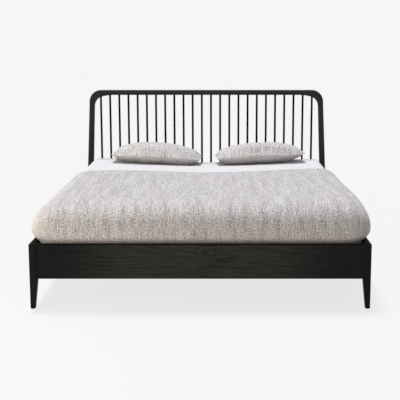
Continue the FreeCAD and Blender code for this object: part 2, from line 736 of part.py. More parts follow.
def slat_tapes():
    """Two webbing tapes stapled along the slats' tops."""
    start = FOOT_RAIL_BACK_Y + SLAT_MARGIN
    end = LOWER_RAIL_FRONT_Y - SLAT_MARGIN
    right = block(TAPE_OFFSET - TAPE_WIDTH / 2, TAPE_OFFSET + TAPE_WIDTH / 2, start, end,
                  SLAT_TOP, SLAT_TOP + TAPE_THICKNESS)
    return Part.makeCompound([right, mirrored(right)])


def centre_legs_y():
    """Y of the two centre legs' middles."""
    return CENTRE_LEG_FRONT, CENTRE_LEG_REAR


def centre_bolt(y, grown=0.0):
    """The bolt that joins a centre leg to the beam."""
    reach = Z_AXIS * (CENTRE_BOLT_REACH + grown)
    seat = Vector(0, y, BEAM_BOTTOM)
    return rod(BOLT_DIAMETER + 2 * grown, seat - reach, seat + reach)


def centre_leg_bolts():
    """Both centre legs' bolts."""
    return Part.makeCompound([centre_bolt(y) for y in centre_legs_y()])


def centre_beam():
    """Beam under the slats, from hanger to hanger."""
    beam = eased_bar(-BEAM_WIDTH / 2, BEAM_WIDTH / 2,
                     FOOT_RAIL_BACK_Y + HANGER_THICKNESS + HANGER_FIT,
                     LOWER_RAIL_FRONT_Y - HANGER_THICKNESS - HANGER_FIT,
                     BEAM_BOTTOM, SLAT_BOTTOM, Y_AXIS, SLAT_EASING)
    return bored(beam, [centre_bolt(y, BOLT_FIT) for y in centre_legs_y()])


def hanger_seats(wall_y, outward):
    """Seats of the four screws through a hanger's flanges into the rail behind it."""
    x = BEAM_WIDTH / 2 + HANGER_FIT + HANGER_THICKNESS + HANGER_FLANGE / 2
    return [Vector(side * x, wall_y, BEAM_BOTTOM + BEAM_HEIGHT * share)
            + outward * HANGER_THICKNESS for side in SIDES for share in HANGER_SCREW_SHARES]


def hanger_screw_holes(wall_y, outward):
    """Holes for the four screws of one hanger."""
    return screw_holes(hanger_seats(wall_y, outward), outward * -1, HANGER_SCREW_LENGTH)


def hanger_screws():
    """The screws of both hangers."""
    return Part.makeCompound([item for wall_y, outward in BEAM_ENDS for item in
                              screws(hanger_seats(wall_y, outward), outward * -1,
                                     HANGER_SCREW_LENGTH)])


def beam_hanger(wall_y, outward):
    """Steel hanger: flanges against a rail, and a cup that the beam's end drops into."""
    half_cup = BEAM_WIDTH / 2 + HANGER_FIT
    half_cheek = half_cup + HANGER_THICKNESS
    half_flange = half_cheek + HANGER_FLANGE
    plate_y = wall_y + outward.y * HANGER_THICKNESS
    lip_y = wall_y + outward.y * HANGER_DEPTH
    floor_z = BEAM_BOTTOM - HANGER_THICKNESS
    y0, y1 = sorted((wall_y, plate_y))
    flange = block(-half_flange, half_flange, y0, y1, floor_z, SLAT_BOTTOM)
    y0, y1 = sorted((wall_y, lip_y))
    cup = block(-half_cheek, half_cheek, y0, y1, floor_z, SLAT_BOTTOM)
    y0, y1 = sorted((plate_y, lip_y + outward.y * CUT_PAST))
    space = block(-half_cup, half_cup, y0, y1, BEAM_BOTTOM, SLAT_BOTTOM + CUT_PAST)
    return bored(flange.fuse(cup).removeSplitter(),
                 [space] + hanger_screw_holes(wall_y, outward))


def leveller_stem(y, grown=0.0, end_gap=0.0):
    """The threaded stem of a levelling foot, or the bore for it when grown."""
    return rod(LEVELLER_STEM_DIAMETER + 2 * grown, Vector(0, y, LEVELLER_HEIGHT / 2),
               Vector(0, y, LEVELLER_TOP + LEVELLER_STEM_LENGTH + end_gap))


def centre_leg(y):
    """Square centre leg between the beam and its levelling foot."""
    half = CENTRE_LEG_WIDTH / 2
    leg = eased_bar(-half, half, y - half, y + half, LEVELLER_TOP, BEAM_BOTTOM, Z_AXIS,
                    CENTRE_LEG_EASING)
    return bored(leg, [centre_bolt(y, BOLT_FIT),
                       leveller_stem(y, LEVELLER_GAP, LEVELLER_BORE_END_GAP)])


def levelling_foot(y):
    """Round foot on a stem that screws into a centre leg."""
    disc = rod(LEVELLER_DIAMETER, Vector(0, y, 0), Vector(0, y, LEVELLER_HEIGHT), DISC_FACETS)
    rim = [edge for edge in disc.Edges if edge.BoundBox.ZMin > LEVELLER_HEIGHT / 2]
    return disc.makeChamfer(LEVELLER_EASING, rim).fuse(leveller_stem(y)).removeSplitter()


# Bedding

def padded_block(grown, bottom, bottom_easing=0.0):
    """The mattress's form grown by a layer: rounded in plan, with rounded upper edges."""
    half, radius = MATTRESS_HALF_WIDTH + grown, MATTRESS_EDGE_RADIUS + grown
    top = MATTRESS_TOP + grown
    levels = [(bottom + bottom_easing, 0.0)]
    if bottom_easing:
        levels.insert(0, (bottom, bottom_easing))
    for index in range(EDGE_SECTIONS):
        turn = QUARTER_TURN * index / (EDGE_SECTIONS - 1)
        levels.append((top - radius * (1 - math.sin(turn)), radius * (1 - math.cos(turn))))
    wires = [rounded_outline(-half + inset, half - inset, MATTRESS_FOOT_Y - grown + inset,
                             MATTRESS_HEAD_Y + grown - inset, z,
                             MATTRESS_PLAN_RADIUS + grown - inset) for z, inset in levels]
    return skin(wires)


def mattress():
    """Mattress with rounded edges."""
    return padded_block(0.0, MATTRESS_BOTTOM, MATTRESS_LOWER_EASING)


def fitted_sheet():
    """Sheet over the mattress's top and sides, down to its hem."""
    return padded_block(SHEET_THICKNESS, HEM_Z).cut(mattress())


def blanket_level(z, inset, end_inset):
    """Outline of the blanket at one height, drawn in from its widest line."""
    half = HALF_WIDTH - BLANKET_BULGE_INSET - inset
    front = FOOT_FACE_Y + BLANKET_FOOT_BULGE_INSET + inset
    back = MATTRESS_FOOT_Y + BLANKET_COVER - end_inset
    turn_y, straight = front + BLANKET_PLAN_RADIUS, half - BLANKET_PLAN_RADIUS
    points = [Vector(x, y, z) for x, y in ((-half, back), (-half, turn_y), (-straight, front),
                                           (straight, front), (half, turn_y), (half, back))]
    edges = straight_edges(points)
    for index, side in ((1, -1), (3, 1)):
        edges[index] = arc_between(Vector(side * straight, turn_y, z), *points[index:index + 2])
    return edges


def blanket():
    """Blanket over the foot end and the sides: bulging over the rails, tucked inside them."""
    tuck = max(RAIL_THICKNESS + BLANKET_TUCK_GAP - BLANKET_BULGE_INSET,
               FOOT_RAIL_SETBACK + RAIL_THICKNESS + BLANKET_TUCK_GAP - BLANKET_FOOT_BULGE_INSET)
    widest_z = RAIL_TOP + BLANKET_WIDEST_RISE
    top_z = SHEET_TOP + BLANKET_THICKNESS
    wires = [blanket_level(HEM_Z, tuck, 0.0),
             blanket_level(RAIL_TOP + BLANKET_TUCK_RISE, tuck, 0.0),
             blanket_level((RAIL_TOP + widest_z) / 2, tuck * BLANKET_UNDER_SHARE, 0.0)]
    power = 2 / BLANKET_SHOULDER_POWER
    for index in range(BLANKET_UPPER_SECTIONS):
        turn = QUARTER_TURN * index / (BLANKET_UPPER_SECTIONS - 1)
        rise = math.sin(turn) ** power
        inset = BLANKET_SHOULDER * (1 - max(math.cos(turn), 0.0) ** power)
        end_inset = BLANKET_END_ROUNDING * rise ** BLANKET_END_POWER
        wires.append(blanket_level(widest_z + (top_z - widest_z) * rise, inset, end_inset))
    return skin(wires).cut(padded_block(SHEET_THICKNESS, MATTRESS_BOTTOM))


def pillow(side):
    """Pillow with a full crown, lying on the sheet in front of the spindles."""
    seam_z = SHEET_TOP + SOFT_GAP + PILLOW_LOWER
    middle_x = PILLOW_SHIFT + side * PILLOW_SPACING / 2
    middle_y = HEAD_FRONT_Y - PILLOW_BACK_GAP - PILLOW_DEPTH / 2
    outlines = []
    for index in range(PILLOW_SECTIONS):
        turn = QUARTER_TURN * (2 * index / (PILLOW_SECTIONS - 1) - 1)
        reach = PILLOW_UPPER if turn > 0 else PILLOW_LOWER
        fullness = max(math.cos(turn), 0.0)
        half_x = PILLOW_LENGTH / 2 - PILLOW_SHOULDER * (1 - fullness)
        half_y = PILLOW_DEPTH / 2 - PILLOW_SHOULDER * (1 - fullness)
        outlines.append(rounded_outline(middle_x - half_x, middle_x + half_x,
                                        middle_y - half_y, middle_y + half_y,
                                        seam_z + reach * math.sin(turn), PILLOW_CORNER_RADIUS,
                                        PILLOW_DRAW_IN * max(fullness, PILLOW_CROWN_DRAW_IN)))
    return skin(outlines)


def build():
    """Every sub-part of the bed by name."""
    parts = {}
    for name, make in (("foot_leg", foot_leg), ("side_rail", side_rail),
                       ("head_post", head_post), ("head_corner", head_corner),
                       ("side_cleat", side_cleat)):
        right = make()
        parts[name + "_right"] = right
        parts[name + "_left"] = mirrored(right)
    for number, x in enumerate(spindle_places(), start=1):
        parts["spindle_%02d" % number] = spindle(x)
    for name, y in zip(("front", "rear"), centre_legs_y()):
        parts["centre_leg_" + name] = centre_leg(y)
        parts["levelling_foot_" + name] = levelling_foot(y)
    parts["foot_rail"] = foot_rail()
    parts["head_top_rail"] = head_top_rail()
    parts["head_lower_rail"] = head_lower_rail()
    parts["arch_dowels"] = arch_dowels()
    parts["rail_dowels"] = rail_dowels()
    parts["bed_bolts"] = bed_bolts()
    parts["rail_nuts"] = rail_nuts()
    parts["leg_glides"] = leg_glides()
    parts["cleat_screws"] = cleat_screws()
    parts["slats"] = slats()
    parts["slat_tapes"] = slat_tapes()
    parts["centre_beam"] = centre_beam()
    parts["centre_leg_bolts"] = centre_leg_bolts()
    for name, end in zip(("foot", "head"), BEAM_ENDS):
        parts["beam_hanger_" + name] = beam_hanger(*end)
    parts["hanger_screws"] = hanger_screws()
    parts["mattress"] = mattress()
    parts["fitted_sheet"] = fitted_sheet()
    parts["blanket"] = blanket()
    parts["pillow_left"] = pillow(-1)
    parts["pillow_right"] = pillow(1)
    return parts


os.makedirs("parts", exist_ok=True)
for part_name, part_shape in build().items():
    part_shape.exportStep("parts/%s.step" % part_name)
print("bed: sub-parts written")
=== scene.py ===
"""Looks of a made-up spindle bed: black-stained oak, a heathered blanket and two pillows.

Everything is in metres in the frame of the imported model: X to the right as seen from the foot
end, Y towards the headboard, Z up, with the origin on the floor under the middle of the bed.
"""

import logging
import math
from dataclasses import dataclass
from enum import Enum
from typing import Any, Optional, Sequence, Union

import bpy
import numpy as np
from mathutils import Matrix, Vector, noise


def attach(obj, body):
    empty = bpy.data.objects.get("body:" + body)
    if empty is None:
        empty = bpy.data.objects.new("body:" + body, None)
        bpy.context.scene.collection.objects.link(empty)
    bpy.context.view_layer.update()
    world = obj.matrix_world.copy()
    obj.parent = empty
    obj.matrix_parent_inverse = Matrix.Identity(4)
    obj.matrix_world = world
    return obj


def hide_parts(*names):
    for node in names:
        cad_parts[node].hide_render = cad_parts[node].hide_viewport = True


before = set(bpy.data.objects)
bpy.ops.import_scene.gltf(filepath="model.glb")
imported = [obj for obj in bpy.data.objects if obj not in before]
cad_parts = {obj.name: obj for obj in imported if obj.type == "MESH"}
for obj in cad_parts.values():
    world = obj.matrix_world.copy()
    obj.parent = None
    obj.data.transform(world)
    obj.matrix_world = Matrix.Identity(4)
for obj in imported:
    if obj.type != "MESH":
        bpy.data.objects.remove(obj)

log = logging.getLogger("bed")
Colour = tuple[float, float, float]
Number = Union["Socket", float]
Array = np.ndarray
Material = bpy.types.Material
Finishes = dict[str, Material]
Ring = list[Vector]
Faces = list[tuple[int, ...]]
Skin = tuple[Array, Faces, Array]
Profile = list[tuple[float, float]]

HALF_WIDTH = 0.965
FOOT_Y, HEAD_Y = -1.090, 1.090
RAIL_BOTTOM, RAIL_TOP = 0.175, 0.375
# Height above which the oak of rails and legs takes painted shadow.
RAIL_EDGE = 0.3735
GLIDE_TOP = 0.003
X_AXIS, Y_AXIS, Z_AXIS = Vector((1, 0, 0)), Vector((0, 1, 0)), Vector((0, 0, 1))
TINY = 1e-9


# Shader building

class Socket:
    """A shader socket that takes part in plain arithmetic."""

    def __init__(self, graph: "Graph", output: bpy.types.NodeSocket) -> None:
        """Wraps one output of a node of the graph."""
        self.graph = graph
        self.output = output

    def _math(self, operation: str, *values: Number) -> "Socket":
        """Adds one Math node and returns its result."""
        return self.graph.node("ShaderNodeMath", {"operation": operation},
                               dict(enumerate(values)))

    def __add__(self, other: Number) -> "Socket":
        """Sum."""
        return self._math("ADD", self, other)

    def __radd__(self, other: Number) -> "Socket":
        """Sum with a number on the left."""
        return self._math("ADD", other, self)

    def __sub__(self, other: Number) -> "Socket":
        """Difference."""
        return self._math("SUBTRACT", self, other)

    def __rsub__(self, other: Number) -> "Socket":
        """Difference with a number on the left."""
        return self._math("SUBTRACT", other, self)

    def __mul__(self, other: Number) -> "Socket":
        """Product."""
        return self._math("MULTIPLY", self, other)

    def __rmul__(self, other: Number) -> "Socket":
        """Product with a number on the left."""
        return self._math("MULTIPLY", other, self)

    def absolute(self) -> "Socket":
        """Size without its sign."""
        return self._math("ABSOLUTE", self)

    def wave(self) -> "Socket":
        """Sine."""
        return self._math("SINE", self)

    def step(self, low: float, high: float) -> "Socket":
        """A smooth step from 0 at low to 1 at high."""
        return self.graph.node("ShaderNodeMapRange", {"interpolation_type": "SMOOTHSTEP"},
                               {"Value": self, "From Min": low, "From Max": high})


class Graph:
    """A node tree of a material or of the world, filled through one method."""

    def __init__(self, name: str, world: bool = False) -> None:
        """Starts an empty material, or the scene's world.

        Args:
            name: Its name.
            world: Makes a world.
        """
        self.owner = (bpy.data.worlds if world else bpy.data.materials).new(name)
        self.owner.use_nodes = True
        self.tree = self.owner.node_tree
        self.tree.nodes.clear()

    def node(self, kind: str, settings: Optional[dict[str, Any]] = None,
             inputs: Optional[dict[Union[int, str], Any]] = None,
             output: Union[int, str, None] = 0) -> Optional[Socket]:
        """Adds a node: its settings first, then the values or links of its sockets.

        Args:
            kind: The node's type.
            settings: Properties by name.
            inputs: Values or sockets by input name or index.
            output: Name or index of the output that is wanted, if any.

        Returns:
            The wrapped output.
        """
        made = self.tree.nodes.new(kind)
        for name, value in (settings or {}).items():
            setattr(made, name, value)
        for key, value in (inputs or {}).items():
            if isinstance(value, Socket):
                self.tree.links.new(value.output, made.inputs[key])
            elif isinstance(value, tuple) and made.inputs[key].type == "RGBA":
                made.inputs[key].default_value = (*value, 1.0)
            else:
                made.inputs[key].default_value = value
        return None if output is None else Socket(self, made.outputs[output])

    def vector(self, operation: str, *values: Any, output: Union[int, str] = 0) -> Socket:
        """Adds one Vector Math node and returns its result."""
        return self.node("ShaderNodeVectorMath", {"operation": operation},
                         dict(enumerate(values)), output)

    def place(self, source: str = "Object", scale: Colour = (1.0, 1.0, 1.0)) -> Socket:
        """Coordinates of the surface, Object or UV, scaled on each axis."""
        return self.vector("MULTIPLY", self.node("ShaderNodeTexCoord", output=source), scale)

    def axis(self, source: str, name: str) -> Socket:
        """One coordinate of the surface, X, Y or Z."""
        return self.node("ShaderNodeSeparateXYZ", inputs={0: self.place(source)}, output=name)

    def stripes(self, source: str, name: str, rate: float) -> Socket:
        """A sine across the surface, at so many radians per metre of one coordinate."""
        return (self.axis(source, name) * rate).wave()

    def noise(self, where: Socket, scale: float, detail: float = 2.0, rough: float = 0.5,
              bend: float = 0.0) -> Socket:
        """Fractal noise about 0.5.

        Args:
            where: The vector that it reads.
            scale: Features per unit.
            detail: Octaves.
            rough: The share that each octave keeps.
            bend: Distortion.

        Returns:
            The noise's socket.
        """
        return self.node("ShaderNodeTexNoise", {"noise_dimensions": "3D"},
                         {"Vector": where, "Scale": scale, "Detail": detail,
                          "Roughness": rough, "Distortion": bend})

    def blend(self, share: Number, first: Any, second: Any, mode: str = "MIX") -> Socket:
        """Mixes a share of a second colour into a first one, by the blend type."""
        return self.node("ShaderNodeMix", {"data_type": "RGBA", "blend_type": mode},
                         {0: share, 6: first, 7: second}, 2)

    def bump(self, height: Socket, distance: float) -> Socket:
        """The normal of a height from 0 to 1, where 1 stands for a distance in metres."""
        return self.node("ShaderNodeBump", inputs={"Strength": 1.0, "Distance": distance,
                                                   "Height": height})

    def rays(self, *kinds: str) -> Number:
        """1 for rays of the named kinds, and 0 for others.

        Args:
            *kinds: Outputs of the Light Path node.

        Returns:
            The switch's socket.
        """
        seen: Number = 0.0
        for kind in kinds:
            seen = self.node("ShaderNodeMath", {"operation": "MAXIMUM"},
                             {0: self.node("ShaderNodeLightPath", output=kind), 1: seen})
        return seen

    def either(self, share: Number, first: Socket, second: Socket) -> Socket:
        """Mixes a share of a second shader into a first one."""
        return self.node("ShaderNodeMixShader", inputs={0: share, 1: first, 2: second})

    def surface(self, **inputs: Any) -> Material:
        """Ends the material in a Principled surface.

        Args:
            **inputs: Values or links, with an underscore for each space of the input's name.

        Returns:
            The finished material.
        """
        return self.end(self.node("ShaderNodeBsdfPrincipled",
                                  inputs={name.replace("_", " "): value
                                          for name, value in inputs.items()}))

    def end(self, shader: Socket) -> Any:
        """Ends the graph in a shader.

        Args:
            shader: The shader that the output takes.

        Returns:
            The finished material or world.
        """
        kind = "World" if isinstance(self.owner, bpy.types.World) else "Material"
        self.node("ShaderNodeOutput" + kind, inputs={"Surface": shader}, output=None)
        return self.owner


# Finishes

@dataclass(frozen=True)
class Finish:
    """A named finish that varies between two colours.

    Attributes:
        name: The material's name.
        main: Its main colour.
        other: The colour that it varies towards.
    """

    name: str
    main: Colour
    other: Colour

    def shade(self, g: Graph) -> Material:
        """Fills the graph and returns its material."""
        raise NotImplementedError

    def material(self) -> Material:
        """Builds the material."""
        return self.shade(Graph(self.name))


class Grain(Enum):
    """The way the wood's grain runs, and the coordinates that it is read from."""

    ALONG_X = ("Object", (True, False, False))
    ALONG_Y = ("Object", (False, True, False))
    ALONG_Z = ("Object", (False, False, True))
    ALONG_PIECE = ("UV", (False, True, False))

    def place(self, g: Graph, along: float, across: float) -> Socket:
        """Coordinates at so many features per metre along and across the grain."""
        source, lengthwise = self.value
        return g.place(source, tuple(along if own else across for own in lengthwise))


@dataclass(frozen=True)
class StainedOak(Finish):
    """Black-stained oak with open pores, the other colour, under a thin satin lacquer.

    Attributes:
        grain: The way the grain runs.
        sheen: Specular level of the lacquer.
        painted_end_shade: How much painted shade darkens a rail towards its ends, in place of
            light that is brighter at its middle.
        knot: Middle of a small knot on a rail's face, as X and Z.
        painted_shadow_top: Height above which painted shadow darkens the colour, standing in
            for the bedding's shade on the tops; the surface there is also rougher.
        relief: Depth of the open grain.
    """

    other: Colour = (0.0022, 0.0022, 0.0020)
    grain: Grain = Grain.ALONG_PIECE
    sheen: float = 0.12
    painted_end_shade: float = 0.0
    knot: Optional[tuple[float, float]] = None
    painted_shadow_top: Optional[float] = None
    relief: float = 0.0007

    def streaks(self, g: Graph, along: float, across: float, push: Number = 0.0,
                detail: float = 2.0) -> Socket:
        """Noise drawn out along the grain.

        Args:
            g: The material's graph.
            along: Features per metre along the grain.
            across: Features per metre across it.
            push: A height by which the streaks are pushed aside.
            detail: Octaves.

        Returns:
            The noise's socket.
        """
        shift = g.node("ShaderNodeCombineXYZ", inputs={"Z": push})
        where = g.vector("ADD", self.grain.place(g, along, across), shift)
        return g.noise(where, 1.0, detail, 0.6)

    def shade(self, g: Graph) -> Material:
        """Lays growth rings, bands, fibres and pores over each other.

        Args:
            g: The material's graph.

        Returns:
            The material.
        """
        heart, push = 0.0, 0.0
        if self.knot:
            away = g.vector("SUBTRACT", g.place(), (self.knot[0], 0.0, self.knot[1]))
            reach = g.vector("LENGTH", g.vector("MULTIPLY", away, (16.0, 0.0, 42.0)),
                             output="Value")
            heart = 1.0 - reach.step(0.05, 0.45)
            push = (1.0 - reach.step(0.0, 2.6)) * 2.6
        figure = self.streaks(g, 1.3, 26.0, push)
        bands = self.streaks(g, 5.0, 175.0, push)
        fibre = self.streaks(g, 12.0, 520.0, push)
        pores = self.streaks(g, 26.0, 900.0, detail=1.0).step(0.58, 0.70)
        rings = (figure * 40.0).wave() * 0.5 + 0.5
        tone = (rings * 0.18 + bands.step(0.30, 0.70) * 0.52 + fibre * 0.30)
        tone = tone * (1.0 - 0.6 * pores) * (1.0 - 0.7 * heart)
        # Painted shade: the colour darkens towards the rail's ends, standing in for light that
        # is brighter at its middle.
        if self.painted_end_shade:
            along = g.axis("Object", "X").absolute()
            tone = tone * (1.0 - self.painted_end_shade * along.step(0.30, 0.85))
        above = 0.0
        # Painted shadow: above this height the colour darkens where the blanket's bulge shades
        # the tops of the rails and legs; the roughness rises there too.
        if self.painted_shadow_top:
            above = g.axis("Object", "Z").step(self.painted_shadow_top - 0.004, self.painted_shadow_top)
            tone = tone * (1.0 - 0.85 * above)
        height = bands * 0.35 + fibre * 0.25 + (1.0 - pores) * 0.4
        return g.surface(Base_Color=g.blend(tone, self.other, self.main),
                         Roughness=0.42 + 0.20 * pores + 0.12 * bands + 0.35 * above,
                         Specular_IOR_Level=self.sheen, Normal=g.bump(height, self.relief))


@dataclass(frozen=True)
class PlainTimber(Finish):
    """Planed pale softwood: pale rings, and darker late ones in the other colour."""

    main: Colour = (0.62, 0.47, 0.30)
    other: Colour = (0.42, 0.27, 0.14)
    grain: Grain = Grain.ALONG_X

    def shade(self, g: Graph) -> Material:
        """Lays rings and fibres over each other.

        Args:
            g: The material's graph.

        Returns:
            The material.
        """
        figure = g.noise(self.grain.place(g, 0.5, 20.0), 1.0, bend=0.6)
        rings = ((figure * 60.0).wave() * 0.5 + 0.5).step(0.35, 1.0)
        fibre = g.noise(self.grain.place(g, 3.0, 900.0), 1.0, 3.0)
        return g.surface(Base_Color=g.blend(rings * 0.45 + fibre * 0.35, self.main, self.other),
                         Roughness=0.55 + 0.2 * fibre, Normal=g.bump(fibre, 0.0003))


@dataclass(frozen=True)
class Mottled(Finish):
    """A hard skin with soft spots of the other colour over a fine grain.

    Attributes:
        share: How much of the other colour the spots take.
        spots: Spots per metre.
        keep: The share that each octave of the spots keeps.
        roughness: Its roughness, and what the spots add to it.
        grain: Grains per metre.
        relief: Depth of the grain.
        metallic: How metallic it is.
    """

    share: float
    spots: float
    keep: float
    roughness: tuple[float, float]
    grain: float
    relief: float
    metallic: float = 0.0

    def shade(self, g: Graph) -> Material:
        """Lays the spots over the grain.

        Args:
            g: The material's graph.

        Returns:
            The material.
        """
        spots = g.noise(g.place(), self.spots, 3.0, self.keep)
        return g.surface(Base_Color=g.blend(spots * self.share, self.main, self.other),
                         Metallic=self.metallic,
                         Roughness=self.roughness[0] + self.roughness[1] * spots,
                         Normal=g.bump(g.noise(g.place(), self.grain), self.relief))


class Webbing(Finish):
    """Flat webbing with a visible plain weave."""

    def shade(self, g: Graph) -> Material:
        """Crosses two sets of threads.

        Args:
            g: The material's graph.

        Returns:
            The material.
        """
        weave = (g.stripes("Object", "X", 3000.0)
                 * g.stripes("Object", "Y", 1800.0)) * 0.5 + 0.5
        return g.surface(Base_Color=g.blend(weave * 0.5, self.main, self.other),
                         Roughness=0.9, Normal=g.bump(weave, 0.0003))


class Ticking(Finish):
    """Knitted mattress cover."""

    def shade(self, g: Graph) -> Material:
        """Knits a soft grid over slow clouds of tone.

        Args:
            g: The material's graph.

        Returns:
            The material.
        """
        knit = (g.stripes("UV", "X", 1500.0) + g.stripes("UV", "Y", 1500.0)) * 0.25 + 0.5
        cloud = g.noise(g.place(), 8.0, 3.0)
        return g.surface(Base_Color=g.blend(cloud * 0.3, self.main, self.other),
                         Roughness=0.85, Sheen_Weight=0.1, Normal=g.bump(knit, 0.0003))


class Cotton(Finish):
    """Plain white cotton with a fine weave and a few pressed creases."""

    def shade(self, g: Graph) -> Material:
        """Presses creases into a fine weave and paints shade along them.

        Args:
            g: The material's graph.

        Returns:
            The material.
        """
        weave = (g.stripes("UV", "X", 2600.0) * g.stripes("UV", "Y", 2600.0)) * 0.5 + 0.5
        crease = g.noise(g.place("UV", (2.2, 1.2, 1.0)), 5.0, 4.0, bend=1.4)
        smooth = (crease - 0.5).absolute().step(0.0, 0.10)
        # Painted shade along the crease lines, together with random clouds of tone, both
        # towards the other colour.
        return g.surface(Base_Color=g.blend((1.0 - smooth) * 0.35 + crease * 0.25,
                                            self.main, self.other),
                         Roughness=0.85, Sheen_Weight=0.12,
                         Normal=g.bump(smooth * 0.8 + weave * 0.05, 0.0011))


@dataclass(frozen=True)
class HeatheredWeave(Finish):
    """Cloth of slubby yarns: a middle ground with dark yarns, the other colour, and pale ones.

    Attributes:
        light: Colour of the pale yarns.
        bands: Share of the broad, slow changes of tone across the cloth.
        hollow: How much painted shade darkens the cloth's colour where little light reaches it.
        warm: Tint of the warmer stretches of yarn.
        painted_shade_tint: What the colour is multiplied by where the shade is painted.
        reach: How far away a surface still darkens a hollow.
    """

    light: Colour
    bands: float
    hollow: float
    warm: Colour = (1.0, 0.98, 0.955)
    painted_shade_tint: Colour = (0.20, 0.17, 0.15)
    reach: float = 0.12

    def yarns(self, g: Graph, across: float, along: float, detail: float = 1.0) -> Socket:
        """Noise drawn out along the warp, in features per metre."""
        return g.noise(g.place("UV", (across, along, 1.0)), 1.0, detail, 0.6)

    def shade(self, g: Graph) -> Material:
        """Weaves yarns, slubs and threads, and paints shade into the hollows.

        Args:
            g: The material's graph.

        Returns:
            The material.
        """
        yarn = self.yarns(g, 300.0, 150.0)
        slub = self.yarns(g, 165.0, 95.0)
        thread = self.yarns(g, 125.0, 13.0)
        band = self.yarns(g, 24.0, 2.5, 2.0)
        tone = (yarn * 0.18 + slub * 0.46 + thread * (0.36 - self.bands)
                + band * self.bands)
        ground = g.blend(tone.step(0.37, 0.49), self.other, self.main)
        colour = g.blend(tone.step(0.49, 0.60), ground, self.light)
        tint = g.blend(self.yarns(g, 14.0, 3.0, 3.0).step(0.42, 0.66), (1.0, 1.0, 1.0),
                       self.warm)
        colour = g.blend(1.0, colour, tint, "MULTIPLY")
        # Painted shade: ambient occlusion darkens the colour where nearby surfaces block the
        # light, as under the pillows and where the blanket meets the rail.
        open_share = g.node("ShaderNodeAmbientOcclusion", {"samples": 8},
                            {"Distance": self.reach}, "AO")
        colour = g.blend((1.0 - open_share) * self.hollow, colour, self.painted_shade_tint,
                         "MULTIPLY")
        weft = g.stripes("UV", "Y", 1700.0) * 0.5 + 0.5
        return g.surface(Base_Color=colour, Roughness=0.88 + 0.08 * slub, Sheen_Weight=0.12,
                         Sheen_Roughness=0.5,
                         Normal=g.bump(yarn * 0.45 + slub * 0.45 + weft * 0.10, 0.0013))


@dataclass(frozen=True)
class PaleFloor(Finish):
    """Plain pale studio floor that gives back light of the other colour, warm, to the bed.

    Attributes:
        glow: Share of its seen tone that doesn't depend on the shadow.
    """

    glow: float

    def shade(self, g: Graph) -> Material:
        """Shows one tone and gives back another.

        Args:
            g: The material's graph.

        Returns:
            The material.
        """
        shaded = g.node("ShaderNodeBsdfDiffuse", inputs={"Color": self.main})
        even = g.node("ShaderNodeEmission", inputs={"Color": self.main})
        warm = g.node("ShaderNodeBsdfDiffuse", inputs={"Color": self.other})
        return g.end(g.either(g.rays("Is Camera Ray", "Is Glossy Ray"), warm,
                              g.either(self.glow, shaded, even)))


FINISHES = {
    # The oak pieces share one stain; their main colours were set piece by piece to each piece's
    # brightness, so they hold painted light and shade as well as the oak's tone: the foot rail
    # lightest, the legs darkest.
    "foot_rail": StainedOak("black_oak_foot_rail", (0.064, 0.065, 0.059),
                            grain=Grain.ALONG_X, painted_end_shade=0.86, knot=(0.026, 0.325),
                            painted_shadow_top=RAIL_EDGE),
    "head_rail": StainedOak("black_oak_head_rail", (0.050, 0.051, 0.046),
                            grain=Grain.ALONG_X),
    "side_rail": StainedOak("black_oak_side_rail", (0.030, 0.031, 0.028),
                            grain=Grain.ALONG_Y, painted_shadow_top=RAIL_EDGE),
    "spindle": StainedOak("black_oak_spindle", (0.005, 0.005, 0.0046),
                          (0.001, 0.001, 0.001), Grain.ALONG_Z, 0.02, relief=0.00005),
    "leg": StainedOak("black_oak_leg", (0.018, 0.0185, 0.017), sheen=0.08,
                      painted_shadow_top=RAIL_EDGE),
    "arch": StainedOak("black_oak_arch", (0.040, 0.040, 0.038), sheen=0.22),
    "timber_x": PlainTimber("plain_timber_along_x", grain=Grain.ALONG_X),
    "timber_y": PlainTimber("plain_timber_along_y", grain=Grain.ALONG_Y),
    "timber_z": PlainTimber("plain_timber_along_z", grain=Grain.ALONG_Z),
    "steel": Mottled("zinc_steel", (0.56, 0.57, 0.58), (0.36, 0.36, 0.35), 0.5, 90.0, 0.6,
                     (0.28, 0.25), 900.0, 0.00005, 0.95),
    "nylon": Mottled("nylon", (0.020, 0.020, 0.021), (0.045, 0.045, 0.045), 0.4, 60.0, 0.5,
                     (0.5, 0.2), 2500.0, 0.00006),
    "webbing": Webbing("webbing", (0.70, 0.68, 0.62), (0.52, 0.50, 0.45)),
    "ticking": Ticking("ticking", (0.80, 0.79, 0.76), (0.68, 0.67, 0.64)),
    "cotton": Cotton("white_cotton", (0.895, 0.890, 0.910), (0.83, 0.825, 0.85)),
    "blanket": HeatheredWeave("grey_melange", (0.590, 0.567, 0.580), (0.22, 0.205, 0.203),
                              (0.92, 0.896, 0.90), 0.14, 0.50),
    "pillow": HeatheredWeave("grey_melange_pillow", (0.69, 0.662, 0.656),
                             (0.31, 0.285, 0.276), (0.95, 0.92, 0.915), 0.02, 0.66),
}
SPINDLES = tuple("spindle_%02d" % number for number in range(1, 25))
CARRIED_OVER = {
    "foot_rail": ("foot_rail",),
    "side_rail": ("side_rail_left", "side_rail_right"),
    "head_rail": ("head_lower_rail",),
    "spindle": SPINDLES,
    "timber_x": ("slats",),
    "timber_y": ("side_cleat_left", "side_cleat_right", "centre_beam", "rail_dowels"),
    "timber_z": ("centre_leg_front", "centre_leg_rear", "arch_dowels"),
    "steel": ("beam_hanger_foot", "beam_hanger_head", "bed_bolts", "rail_nuts",
              "cleat_screws", "hanger_screws", "centre_leg_bolts"),
    "nylon": ("leg_glides", "levelling_foot_front", "levelling_foot_rear"),
    "webbing": ("slat_tapes",),
}


